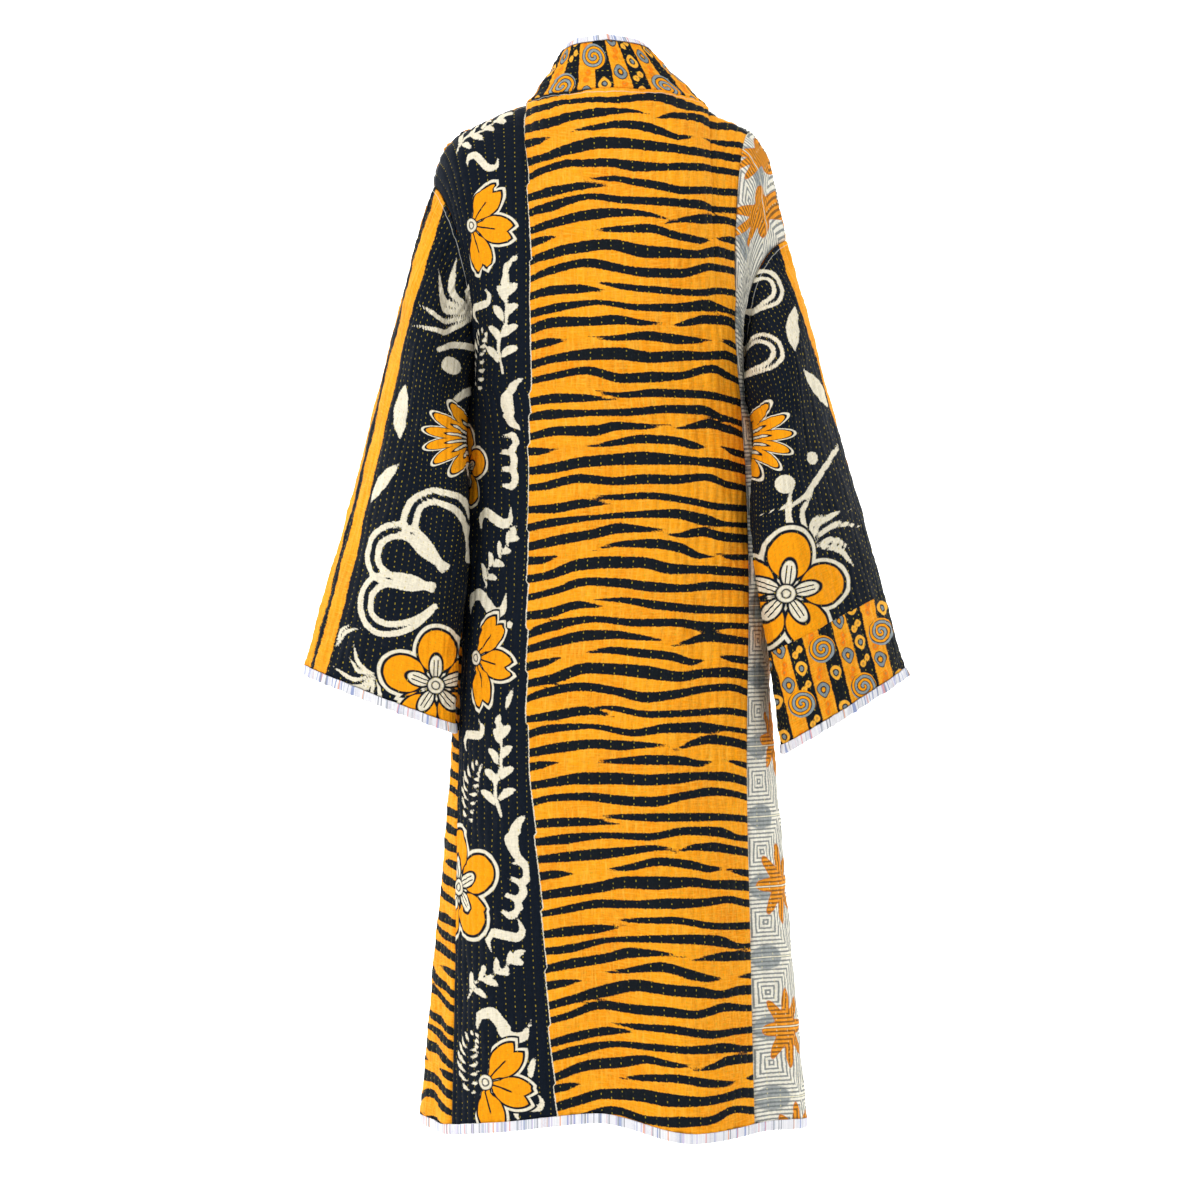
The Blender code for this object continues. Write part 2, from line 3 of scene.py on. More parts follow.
import bmesh
import bpy
import numpy as np
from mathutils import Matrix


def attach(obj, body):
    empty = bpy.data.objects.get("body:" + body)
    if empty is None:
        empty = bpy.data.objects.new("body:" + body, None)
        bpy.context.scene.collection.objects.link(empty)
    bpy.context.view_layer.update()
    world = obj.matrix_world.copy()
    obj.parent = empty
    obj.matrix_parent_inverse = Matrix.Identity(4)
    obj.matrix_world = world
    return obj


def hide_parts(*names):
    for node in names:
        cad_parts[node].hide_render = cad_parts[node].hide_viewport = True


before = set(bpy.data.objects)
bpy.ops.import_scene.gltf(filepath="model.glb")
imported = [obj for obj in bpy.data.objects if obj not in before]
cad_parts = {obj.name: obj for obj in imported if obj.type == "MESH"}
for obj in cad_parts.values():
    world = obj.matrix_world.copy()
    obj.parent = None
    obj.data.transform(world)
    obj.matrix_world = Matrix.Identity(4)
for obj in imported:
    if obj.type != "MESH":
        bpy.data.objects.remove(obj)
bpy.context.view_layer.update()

# Camera, floor and light: the coat hangs in a plain pale studio and is seen from behind,
# square on and level with its middle, through a long lens.
camera_data = bpy.data.cameras.new("camera")
camera_data.sensor_width = 36
camera_data.lens = 119.6
camera = bpy.data.objects.new("camera", camera_data)
camera.location = (0.0077, 4.42, -0.559)
camera.rotation_euler = (math.radians(90), 0, math.radians(180))
bpy.context.scene.collection.objects.link(camera)
bpy.context.scene.camera = camera


def linear(colour):
    """An sRGB hex colour as linear red, green, blue and alpha."""
    parts = [int(colour[i : i + 2], 16) / 255 for i in (0, 2, 4)]
    return tuple(((c + 0.055) / 1.055) ** 2.4 if c > 0.04045 else c / 12.92 for c in parts) + (1.0,)


def add_node(tree, kind, *inputs, output=None, **settings):
    """Adds one node and returns an output. An input is a socket, a number or a hex colour, and None
    leaves it as it is."""
    node = tree.nodes.new("ShaderNode" + kind)
    for name, value in settings.items():
        setattr(node, name, value)
    shown = [socket for socket in node.inputs if socket.enabled]
    for socket, value in zip(shown, inputs):
        if isinstance(value, bpy.types.NodeSocket):
            tree.links.new(value, socket)
        elif value is not None:
            socket.default_value = linear(value) if isinstance(value, str) else value
    return node.outputs[output] if output else next(socket for socket in node.outputs if socket.enabled)


def new_material(name, roughness):
    material = bpy.data.materials.new(name)
    material.use_nodes = True
    shader = material.node_tree.nodes["Principled BSDF"]
    shader.inputs["Roughness"].default_value = roughness
    return material, material.node_tree, shader


def mesh_object(name, bm, material):
    mesh = bpy.data.meshes.new(name)
    bm.to_mesh(mesh)
    bm.free()
    mesh.shade_smooth()
    mesh.materials.append(material)
    made = bpy.data.objects.new(name, mesh)
    bpy.context.scene.collection.objects.link(made)
    return made


# The floor turns up into a wall in one sweep of matt pale paper.
paper, tree, shader = new_material("matt_paper_sweep", 0.9)
shader.inputs["Base Color"].default_value = linear("f4f4f2")
bm = bmesh.new()
bmesh.ops.create_grid(bm, x_segments=1, y_segments=40, size=1)
for vert in bm.verts:
    part = (vert.co.y + 1) / 2
    bend = min(max((part - 0.45) / 0.2, 0.0), 1.0) * math.pi / 2
    flat = min(part, 0.45) / 0.45 * 7.0
    rise = max(part - 0.65, 0.0) / 0.35 * 6.0
    vert.co = (vert.co.x * 9, 5.0 - flat - 0.9 * math.sin(bend), -1.42 + 0.9 * (1 - math.cos(bend)) + rise)
floor = mesh_object("paper_sweep", bm, paper)

bpy.context.scene.view_settings.view_transform = "Standard"
world = bpy.data.worlds.new("studio")
world.use_nodes = True
world.node_tree.nodes["Background"].inputs[0].default_value = (1, 1, 1, 1)
world.node_tree.nodes["Background"].inputs[1].default_value = 0.5
bpy.context.scene.world = world
LIGHTS = (
    # name, place, what it faces, size, watts
    ("key_from_the_left", (2.6, 3.2, 1.6), (0, 0, -0.5), 1.6, 105),
    ("fill_from_the_right", (-3.0, 3.4, 0.4), (0, 0, -0.5), 2.2, 34),
    ("from_the_front", (0.6, -1.9, 1.4), (0, 0, -0.5), 1.2, 22),
    ("overhead", (0.0, 0.4, 2.6), (0, 0, -0.5), 2.0, 25),
    ("wall_from_the_left", (1.8, -0.9, 0.2), (0.2, -2.9, -0.6), 1.2, 70),
    ("wall_from_the_right", (-1.8, -0.9, 0.2), (-0.2, -2.9, -0.6), 1.2, 70),
)
for light_name, place, faces, size, watts in LIGHTS:
    light_data = bpy.data.lights.new(light_name, "AREA")
    light_data.size = size
    light_data.energy = watts
    light = bpy.data.objects.new(light_name, light_data)
    light.location = place
    aim = np.array(faces) - np.array(place)
    turn = math.atan2(aim[0], -aim[1])
    tilt = math.atan2(math.hypot(aim[0], aim[1]), -aim[2])
    light.rotation_euler = (tilt, 0, turn + math.pi)
    bpy.context.scene.collection.objects.link(light)

# Back panel: one width of printed cotton, three old layers quilted together by hand in rows
# that run up the back. It hangs from the shoulders and swings out into soft flutes at the hem.
WALL = 0.0025  # all three layers together, in metres
SWELL = 0.0009  # how far the cloth stands up between two rows of stitches
EDGE_SPACE = 0.00012  # left free along each edge at a seam
BACK_ROWS = 33
HEM, UNDERARM = 1.125, 0.330  # metres below the neck
FULLNESS = 0.9  # below 1 the body is rather square, seen from above
BODY = (
    # below, left,  right, back,  front
    (0.330, 0.151, 0.155, 0.124, 0.122),
    (0.450, 0.158, 0.166, 0.128, 0.126),
    (0.550, 0.163, 0.174, 0.131, 0.130),
    (0.734, 0.172, 0.186, 0.138, 0.137),
    (0.930, 0.187, 0.203, 0.145, 0.144),
    (1.125, 0.207, 0.221, 0.151, 0.149),
)
BACK_SEAMS = (
    # below, left,  right
    (0.330, 0.151, 0.147),
    (0.450, 0.154, 0.154),
    (0.550, 0.158, 0.156),
    (0.734, 0.164, 0.153),
    (0.930, 0.167, 0.158),
    (1.125, 0.167, 0.163),
)
FLUTES = (
    # place, spread, swell, reach
    (-0.27, 0.15, 0.012, 0.62),
    (0.03, 0.13, -0.012, 0.50),
    (0.42, 0.17, 0.011, 0.66),
    (-0.62, 0.12, -0.008, 0.40),
    (0.80, 0.10, -0.008, 0.45),
    (1.32, 0.13, 0.010, 0.60),
    (1.60, 0.10, -0.007, 0.42),
    (-1.28, 0.13, 0.011, 0.55),
    (-1.56, 0.10, -0.008, 0.45),
)
HEM_RISE = (
    # place, rise
    (-2.0, -0.002),
    (-1.0, -0.005),
    (-0.60, 0.000),
    (-0.27, -0.006),
    (0.03, 0.015),
    (0.40, 0.004),
    (0.70, -0.004),
    (1.0, -0.001),
    (2.0, 0.000),
)
LEFT_RIDGE = (
    # out,   down
    (0.0905, 0.0105),
    (0.1220, 0.0231),
    (0.1390, 0.0319),
    (0.1595, 0.0407),
    (0.1770, 0.0560),
    (0.1860, 0.0737),
    (0.1930, 0.1000),
)
RIGHT_RIDGE = (
    # out,   down
    (0.1130, 0.0165),
    (0.1210, 0.0231),
    (0.1410, 0.0319),
    (0.1584, 0.0407),
    (0.1720, 0.0560),
    (0.1804, 0.0737),
    (0.1870, 0.1067),
    (0.1947, 0.1400),
    (0.1995, 0.1600),
)
STRIP_TOP = 0.158
STRIP_PLACE = -0.72  # place round the back at which the side strip begins
NECK_BACK, NECK_TOP = 0.058, 0.001
BACK_PULLS = (
    # place, leaves x,   y,     z,    arrives x, y,     z
    (-1.00, (0.050, 0.160, 0.200), (-0.120, -0.190, 0.055)),
    (STRIP_PLACE, (0.040, 0.100, 0.260), (-0.050, -0.190, 0.020)),
    (-0.45, (0.010, 0.060, 0.320), (0.000, -0.230, 0.090)),
    (0.00, (0.000, 0.030, 0.330), (0.000, -0.130, 0.240)),
    (0.40, (-0.010, 0.055, 0.320), (0.000, -0.230, 0.110)),
    (0.70, (-0.030, 0.110, 0.280), (0.020, -0.200, 0.000)),
    (1.00, (-0.060, 0.200, 0.250), (0.070, -0.210, 0.060)),
)
SKIRT_LEVELS = np.linspace(HEM, UNDERARM, 5 * 48 + 1)
YOKE_PARTS = np.linspace(0, 1, 7 * 17 + 1)[1:]
FINE = 2  # points across for each half row of quilting
ROW_SPACING = 10.6  # between two rows of stitches, in millimetres
STITCH_SPACING = 6.0
TOP_STITCHING = 4.6  # how far it runs from a seam


def read_table(table, at):
    """Reads a table whose first column rises, along a smooth curve that doesn't overshoot."""
    rows = np.array([np.hstack(row) for row in table], float)
    places, values = rows[:, 0], rows[:, 1:]
    steps = np.diff(places)[:, None]
    slopes = np.diff(values, axis=0) / steps
    bends = np.zeros_like(values)
    product = slopes[:-1] * slopes[1:]
    together = np.where(product > 0, slopes[:-1] + slopes[1:], 1.0)
    bends[1:-1] = np.where(product > 0, 2 * product / together, 0.0)
    bends[0], bends[-1] = slopes[0], slopes[-1]
    at = np.clip(np.asarray(at, float), places[0], places[-1])
    row = np.clip(np.searchsorted(places, at, side="right") - 1, 0, len(places) - 2)
    step = steps[row, 0][..., None]
    part = (at - places[row])[..., None] / step
    return hermite(values[row], bends[row] * step, values[row + 1], bends[row + 1] * step, part)


def hermite(start, leaves, end, arrives, part):
    """The point a part of the way along a curve with these ends and pulls."""
    square, cube = part**2, part**3
    return (
        (2 * cube - 3 * square + 1) * start
        + (cube - 2 * square + part) * leaves
        + (3 * square - 2 * cube) * end
        + (cube - square) * arrives
    )


def unit(vectors):
    return vectors / np.maximum(np.linalg.norm(vectors, axis=-1, keepdims=True), 1e-12)


def lengths_along(line):
    """How far along a line of points each one lies."""
    return np.concatenate([[0], np.cumsum(np.linalg.norm(np.diff(line, axis=0), axis=1))])


def along_line(points, parts):
    """Points a part of the length along a line of points."""
    lengths = lengths_along(points)
    wanted = np.asarray(parts) * lengths[-1]
    return np.stack([np.interp(wanted, lengths, points[:, axis]) for axis in range(3)], axis=-1)


def cloth_place(points, start_columns=0):
    """The length across the cloth from one column of each row, and the drop, in millimetres."""
    steps = np.linalg.norm(np.diff(points, axis=1), axis=-1) * 1000
    across = np.concatenate([np.zeros((len(steps), 1)), np.cumsum(steps, axis=1)], axis=1)
    start = across[np.arange(len(across)), start_columns]
    return across - start[:, None], -points[..., 2] * 1000


def body_points(below, place):
    """Points of the skirt. place is 0 at the middle of the back, 1 and -1 at the sides, 2 in front."""
    left, right, back, front = np.moveaxis(read_table(BODY, below), -1, 0)
    turn = place * math.pi / 2
    half = np.where(place > 0, left, right)
    depth = np.where(np.abs(place) < 1, back, front)
    x = half * np.sin(turn)
    y = depth * np.sign(np.cos(turn)) * np.abs(np.cos(turn)) ** FULLNESS
    above_hem = HEM - below
    swell = np.zeros_like(x)
    for middle, spread, most, reach in FLUTES:
        fade = np.clip(1 - above_hem / reach, 0, 1) ** 1.4
        swell = swell + most * fade * np.exp(-(((place - middle) / spread) ** 2))
    out = unit(np.stack([x / half**2, y / depth**2, 0 * x], axis=-1))
    rise = read_table(HEM_RISE, place)[..., 0] * np.clip(1 - above_hem / 0.35, 0, 1)
    return np.stack([x, y, rise - below], axis=-1) + out * swell[..., None]


def place_of(below, distance, side):
    """The place round the back at which the body is this far from the middle."""
    half = read_table(BODY, below)[..., 0 if side > 0 else 1]
    return side * np.arcsin(np.minimum(1.0, distance / half)) * 2 / math.pi


def back_seam(below, side):
    return place_of(below, read_table(BACK_SEAMS, below)[..., 0 if side > 0 else 1], side)


def ridge_line(table, side):
    """A shoulder ridge as points, from the neck to the sleeve."""
    rows = [(part,) + row for part, row in zip(np.linspace(0, 1, len(table)), table)]
    curve = read_table(rows, np.linspace(0, 1, 4 * len(table)))
    return np.stack([side * curve[:, 0], np.zeros(len(curve)), -curve[:, 1]], axis=-1)


def grid_normals(points, outwards):
    """Square to the cloth, on the side that the outwards point lies on."""
    normals = unit(np.cross(np.gradient(points, axis=0), np.gradient(points, axis=1)))
    middle = points.shape[0] // 2, points.shape[1] // 2
    return normals * np.sign(np.dot(normals[middle], outwards))


def top_edge(line, row_count):
    """Points along the top of a panel, as many as its rows of quilting need."""
    return along_line(line, np.linspace(0, 1, 2 * row_count * FINE + 1))


def panel_grid(first_places, last_places, top, pulls, reach, outwards):
    """A panel's points from the hem to its top edge, and its normals. Its two seams are places
    round the body at each level, and reach is the part of the table of pulls that it takes."""
    parts = np.linspace(0, 1, len(top))
    places = first_places[:, None] * (1 - parts) + last_places[:, None] * parts
    skirt = body_points(np.repeat(SKIRT_LEVELS[:, None], len(top), axis=1), places)
    values = read_table(pulls, np.linspace(*reach, len(top)))
    yoke = hermite(skirt[-1], values[:, :3], top, values[:, 3:], YOKE_PARTS[:, None, None])
    points = np.concatenate([skirt, yoke])
    return points, grid_normals(points, outwards)


def fold_heights(points, folds):
    """How far the cloth stands out at creases, each given from end to end in millimetres
    out from the middle and down from the neck, with its half width and its height."""
    out, down = points[..., 0] * 1000, -points[..., 2] * 1000
    heights = np.zeros(out.shape)
    for x0, z0, x1, z1, half_width, height in folds:
        length = math.hypot(x1 - x0, z1 - z0)
        along = ((out - x0) * (x1 - x0) + (down - z0) * (z1 - z0)) / length**2
        across = ((out - x0) * (z1 - z0) - (down - z0) * (x1 - x0)) / length
        bow = across - 0.06 * length * np.sin(np.clip(along, 0, 1) * math.pi)
        fade = np.clip(along, 0, 1) * np.clip(1 - along, 0, 1) * 4
        heights += height * fade**0.6 * np.exp(-((bow / half_width) ** 2))
    return heights / 1000


def quilted(points, normals, row_count, folds, seams=(True, True)):
    """Swells the cloth between its rows of stitches, ripples it, and lays in its creases."""
    columns = points.shape[1]
    at_row = np.linspace(0, row_count, columns)
    swell = SWELL * np.abs(np.sin(at_row * math.pi)) ** 0.8
    down = -points[..., 2] * 1000
    wander = np.sin(down * 0.11 + 2.1 * at_row) + np.sin(down * 0.063 - 1.3 * at_row + 1)
    ripple = 0.00035 * np.sin(down * 0.42 + 1.7 * wander + 2.4 * np.sin(at_row * 1.9))
    heights = swell + ripple + 0.0005 * wander + fold_heights(points, folds)
    from_start, from_end = at_row * ROW_SPACING, (row_count - at_row) * ROW_SPACING
    for sewn, distance in zip(seams, (from_start, from_end)):
        if sewn:
            heights = heights * np.clip(distance / 6, 0, 1) - 0.0012 * np.exp(-((distance / 3.5) ** 2))
    return points + normals * heights[..., None]


def cloth_piece(
    node, points, normals, uv, fields, material, flat, rests_on,
    made_of="_cloth", held="hung", tube=False, wall=WALL, **area
):
    """A sheet of cloth on a grid of points, with its own map and its printed fields. It stands for
    one node. flat, the size it was cut to in metres as far as it shows, is not used."""
    rows, columns = points.shape[:2]
    bm = bmesh.new()
    bmesh.ops.create_grid(bm, x_segments=columns - 1, y_segments=rows - 1, size=1)
    across, up = points[1, 1] - points[1, 0], points[2, 1] - points[1, 1]
    if np.dot(np.cross(across, up), normals[1, 1]) < 0:
        bmesh.ops.reverse_faces(bm, faces=bm.faces[:])
    made = mesh_object(node + made_of, bm, material)
    mesh = made.data
    grid = np.empty(len(mesh.vertices) * 3)
    mesh.vertices.foreach_get("co", grid)
    column = np.rint((grid[0::3] + 1) / 2 * (columns - 1)).astype(int)
    row = np.rint((grid[1::3] + 1) / 2 * (rows - 1)).astype(int)
    mesh.vertices.foreach_set("co", points[row, column].ravel())
    corner = np.empty(len(mesh.loops), np.int32)
    mesh.loops.foreach_get("vertex_index", corner)
    layer = mesh.uv_layers.new(name="cloth")
    layer.uv.foreach_set("vector", uv[row, column][corner].astype(np.float32).ravel())
    for field_name, values in fields.items():
        kind, held_as = ("FLOAT", "value") if values.ndim == 2 else ("FLOAT_VECTOR", "vector")
        field = mesh.attributes.new(field_name, kind, "POINT")
        field.data.foreach_set(held_as, values[row, column].astype(np.float32).ravel())
    mesh.update()
    if tube:
        weld = made.modifiers.new("closed_round", "WELD")
        weld.merge_threshold = 0.00002
    if wall:
        thick = made.modifiers.new("layers", "SOLIDIFY")
        thick.thickness = wall
        thick.offset = -1
        thick.use_even_offset = False
    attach(made, "root")
    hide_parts(node)


def from_top_edge(points):
    """How far each point lies below the last row of a grid, in millimetres."""
    steps = np.linalg.norm(np.diff(points[::-1], axis=0), axis=-1)
    return np.concatenate([np.zeros((1, points.shape[1])), np.cumsum(steps, axis=0)])[::-1] * 1000


def cloth_map(points, row_count):
    """The quilting's own map: rows across, and the length down the cloth in rows' widths."""
    step = np.linalg.norm(np.diff(points, axis=0), axis=-1).mean(axis=1)
    length = np.concatenate([[0], np.cumsum(step)]) * 1000 / ROW_SPACING
    return np.stack(np.meshgrid(np.linspace(0, row_count, points.shape[1]), length[-1] - length), axis=-1)


# The edges of a grid, each as its axis and its end.
LAST_ROW, FIRST_COLUMN, LAST_COLUMN, FIRST_ROW = (0, -1), (1, 0), (1, -1), (0, 0)


def drawn_in(points, *edges):
    """Draws the chosen edges of a grid back from their seam."""
    points = points.copy()
    for axis, end in edges:
        lines = np.moveaxis(points, axis, 0)
        lines[end] += unit(lines[1 if end == 0 else -2] - lines[end]) * EDGE_SPACE
    return points


def body_panel(node, points, normals, row_count, folds, fields, material, flat, rests_on, area):
    """One panel of the body, sewn to its neighbours at its top and both sides."""
    shape = quilted(points, normals, row_count, folds)
    shape = drawn_in(shape, LAST_ROW, FIRST_COLUMN, LAST_COLUMN)
    quilt_map = cloth_map(points, row_count)
    cloth_piece(node, shape, normals, quilt_map, fields, material, flat, rests_on, area=area)


right_ridge, left_ridge = ridge_line(RIGHT_RIDGE, -1), ridge_line(LEFT_RIDGE, 1)
strip_corner = np.array((-STRIP_TOP, 0.0, np.interp(STRIP_TOP, -right_ridge[:, 0], right_ridge[:, 2])))
over_right = np.vstack([right_ridge[-right_ridge[:, 0] <= STRIP_TOP], strip_corner])[::-1]
turns = np.linspace(math.pi, 0, 200)
neck_middle = (LEFT_RIDGE[0][0] - RIGHT_RIDGE[0][0]) / 2
neck_half = (LEFT_RIDGE[0][0] + RIGHT_RIDGE[0][0]) / 2
neck_ends = np.where(turns < math.pi / 2, LEFT_RIDGE[0][1], RIGHT_RIDGE[0][1])
neck_z = NECK_TOP - (neck_ends + NECK_TOP) * (1 - np.sin(turns))
neck_y = NECK_BACK * np.sin(turns).clip(0) ** 1.6
neck_line = np.stack([neck_middle + neck_half * np.cos(turns), neck_y, neck_z], axis=-1)

top_lines = (over_right, neck_line, left_ridge)
lengths = [lengths_along(line)[-1] for line in top_lines]
right_count = round(2 * BACK_ROWS * lengths[0] / sum(lengths))
left_count = round(2 * BACK_ROWS * lengths[2] / sum(lengths))
top_counts = np.array((right_count, 2 * BACK_ROWS - right_count - left_count, left_count)) * FINE
top_parts = [along_line(line, np.linspace(0, 1, n + 1)) for line, n in zip(top_lines, top_counts)]
back_top = np.vstack([top_parts[0][:-1], top_parts[1], top_parts[2][1:]])
right_back_seam, left_back_seam = back_seam(SKIRT_LEVELS, -1), back_seam(SKIRT_LEVELS, 1)
back_points, back_normals = panel_grid(
    right_back_seam, left_back_seam, back_top, BACK_PULLS, (STRIP_PLACE, 1), (0, 1, 0)
)
neck_columns = slice(top_counts[0], top_counts[0] + top_counts[1] + 1)


def draw_stroke(field, across, down, line, widths):
    """Prints one brush stroke, given by a few points and its half widths, in millimetres."""
    line, widths = np.array(line, float), np.array(widths, float)
    table = [(part, *point) for part, point in zip(np.linspace(0, 1, len(line)), line)]
    parts = np.linspace(0, 1, 4 * len(line) - 3)
    curve = read_table(table, parts)
    half = np.interp(parts, np.linspace(0, 1, len(widths)), widths)
    reach = half.max() + 7
    low, high = curve.min(axis=0) - reach, curve.max(axis=0) + reach
    near = (across > low[0]) & (across < high[0]) & (down > low[1]) & (down < high[1])
    if not near.any():
        return
    spots = np.stack([across[near], down[near]], axis=-1)[:, None]
    starts, steps = curve[:-1], np.diff(curve, axis=0)
    part = ((spots - starts) * steps).sum(-1) / np.maximum((steps**2).sum(-1), 1e-9)
    part = np.clip(part, 0, 1)
    distance = np.linalg.norm(spots - starts - part[..., None] * steps, axis=-1)
    inside = half[:-1] * (1 - part) + half[1:] * part - distance
    field[near] = np.maximum(field[near], inside.max(axis=1))


LEAF = (0.005, 0.72, 1.0, 0.78, 0.01)


def leaf(x, y, angle, length, width, bend=0.12):
    """One pointed leaf as a stroke in a motif's own units, bent to one side."""
    turn = math.radians(angle)
    step = np.array((math.cos(turn), math.sin(turn))) * length
    bow = np.array((-math.sin(turn), math.cos(turn))) * length * bend
    start = np.array((x, y))
    return (start, start + step * 0.5 + bow, start + step), [width * part for part in LEAF]


def sprig(pairs):
    """A curved stem with plump leaves in pairs and one at its tip."""
    lines = [(((0.12, -1), (-0.06, -0.5), (0.06, 0.1), (0.0, 0.62)), (0.035, 0.035, 0.025))]
    for pair in range(pairs):
        y = -0.72 + 1.25 * pair / (pairs - 1)
        length = 0.50 - 0.05 * pair
        lines.append(leaf(0.02, y, 34 + 7 * pair, length, 0.088))
        lines.append(leaf(-0.02, y - 0.10, 146 - 7 * pair, length, 0.088, -0.12))
    lines.append(leaf(0.0, 0.58, 92, 0.46, 0.09))
    return lines


def feather(barbs):
    """A feathered leaf: small barbs on both sides of a bowed line."""
    lines = []
    for barb in range(barbs):
        part = barb / (barbs - 1)
        x = -0.92 + 1.75 * part
        y = -0.28 + 0.27 * math.sin(part * math.pi * 0.9)
        length = 0.66 * math.sin(math.pi * (0.16 + 0.78 * part)) ** 0.7
        lines.append(leaf(x, y + 0.05, 68 - 30 * part, length, 0.062))
        lines.append(leaf(x, y - 0.05, -74 + 36 * part, length * 0.8, 0.062, -0.12))
    return lines


def fan_of_leaves(count, first, last, width, bend=0.16):
    """Long narrow leaves that spread from one point, from the first angle to the last."""
    lengths = 0.82 + 0.18 * np.sin(np.arange(count) * 1.9 + 1)
    turns = np.linspace(first, last, count)
    return [leaf(0, 0, turn, length, width, bend) for turn, length in zip(turns, lengths)]


def loops(count):
    """Long looped petals side by side in a fan round the right, each drawn with a double line."""
    lines = []
    for petal in range(count):
        turn = math.radians(37 * (petal - (count - 1) / 2))
        along = np.array((math.cos(turn), math.sin(turn)))
        side = np.array((-along[1], along[0]))
        for apex, width, thick in ((1.0, 0.27, 0.027), (0.90, 0.185, 0.027)):
            outline = [along * forth * apex + side * out * width for forth, out in
                       ((0.34, 0.42), (0.50, 0.82), (0.68, 1.0), (0.86, 0.92), (0.97, 0.50), (1.0, 0.0))]
            mirrored = [2 * along * np.dot(point, along) - point for point in outline[:-1]]
            lines.append((outline + mirrored[::-1], (thick, thick, thick)))
    return lines


SQUIGGLE = [(((-1.0, 0.05), (-0.70, 0.52), (-0.28, 0.50), (0.0, 0.0), (0.28, -0.50), (0.70, -0.52),
              (1.0, -0.05)), (0.02, 0.15, 0.20, 0.21, 0.20, 0.15, 0.02))]
CRESCENT = [(((0.52, 1.0), (-0.08, 0.62), (-0.26, 0.0), (-0.06, -0.60), (0.55, -0.96)),
             (0.01, 0.16, 0.27, 0.17, 0.01))]
CLOUD = [(((-0.42, y + 0.26), (0.10, y + 0.30), (0.26, y), (0.10, y - 0.30), (-0.30, y - 0.24)),
          (0.02, 0.11, 0.15, 0.13, 0.04)) for y in (0.66, 0.06, -0.54)]
MOTIFS = {
    "sprig": sprig(4),
    "feather": feather(8),
    "loop": loops(1),
    "palm": fan_of_leaves(7, 108, -24, 0.046, 0.20),
    "loops": loops(3),
    "squiggle": SQUIGGLE,
    "crescent": CRESCENT,
    "cloud": CLOUD,
    "vine": [(((-1, -0.86), (-0.1, -0.52), (0.42, 0.05), (1, 0.92)), (0.01, 0.06, 0.08, 0.05))],
    "arc": [(((-1, -0.28), (-0.35, 0.12), (0.35, 0.14), (1, -0.25)), (0.09, 0.12, 0.12, 0.09))],
    "lens": [(((-1, 0), (0, 0.10), (1, 0)), (0.01, 0.20, 0.27, 0.20, 0.01))],
    "dot": [(((-0.02, 0), (0.02, 0)), (1.0, 1.0))],
}


def spot_on(points, across, down, out, drop, columns=slice(None), lean=0.0):
    """The cloth's own place for a point seen from behind, in millimetres out and down. Beyond the
    cloth's edge it goes on flat."""
    near = (points[:, columns, 0] * 1000 - out) ** 2 + (points[:, columns, 2] * 1000 + drop) ** 2
    row, column = np.unravel_index(near.argmin(), near.shape)
    x, _, z = points[:, columns][row, column] * 1000
    cosine, sine = math.cos(math.radians(lean)), math.sin(math.radians(lean))
    beside, below = out - x, drop + z
    return (across[:, columns][row, column] + beside * cosine - below * sine,
            down[:, columns][row, column] + beside * sine + below * cosine)


def put_flower(places, across, down, x, y, size, turn=0.0):
    """Gives each point that is nearest to this flower its place in it, in the flower's own radii,
    and returns which points they are."""
    right, above = (x - across) / size, (y - down) / size
    cosine, sine = math.cos(turn), math.sin(turn)
    distance = np.hypot(right, above)
    nearest = distance < places[..., 2]
    local = [right * cosine + above * sine, above * cosine - right * sine, distance]
    places[nearest] = np.stack(local, axis=-1)[nearest]
    return nearest


def print_motifs(points, across, down, table, columns=slice(None), lean=0):
    """The cream drawing, and the place inside the nearest flower, for each point of a cloth whose
    threads lean this many degrees as it hangs."""
    cream = np.full(across.shape, -9.0)
    flower = np.zeros(across.shape + (3,)) + (0, 0, 9)
    petals = np.full(across.shape, 5.1)
    for kind, out, drop, size, angle in table:
        x, y = spot_on(points, across, down, out, drop, columns, lean)
        turn = math.radians(angle + lean)
        cosine, sine = math.cos(turn) * size, math.sin(turn) * size
        if kind in MOTIFS:
            for line, widths in MOTIFS[kind]:
                placed = [(x - cosine * p + sine * q, y - sine * p - cosine * q) for p, q in line]
                draw_stroke(cream, across, down, placed, np.array(widths) * size)
        else:
            petals[put_flower(flower, across, down, x, y, size, turn)] = kind
    return {"cream": cream, "flower": flower, "petals": petals}


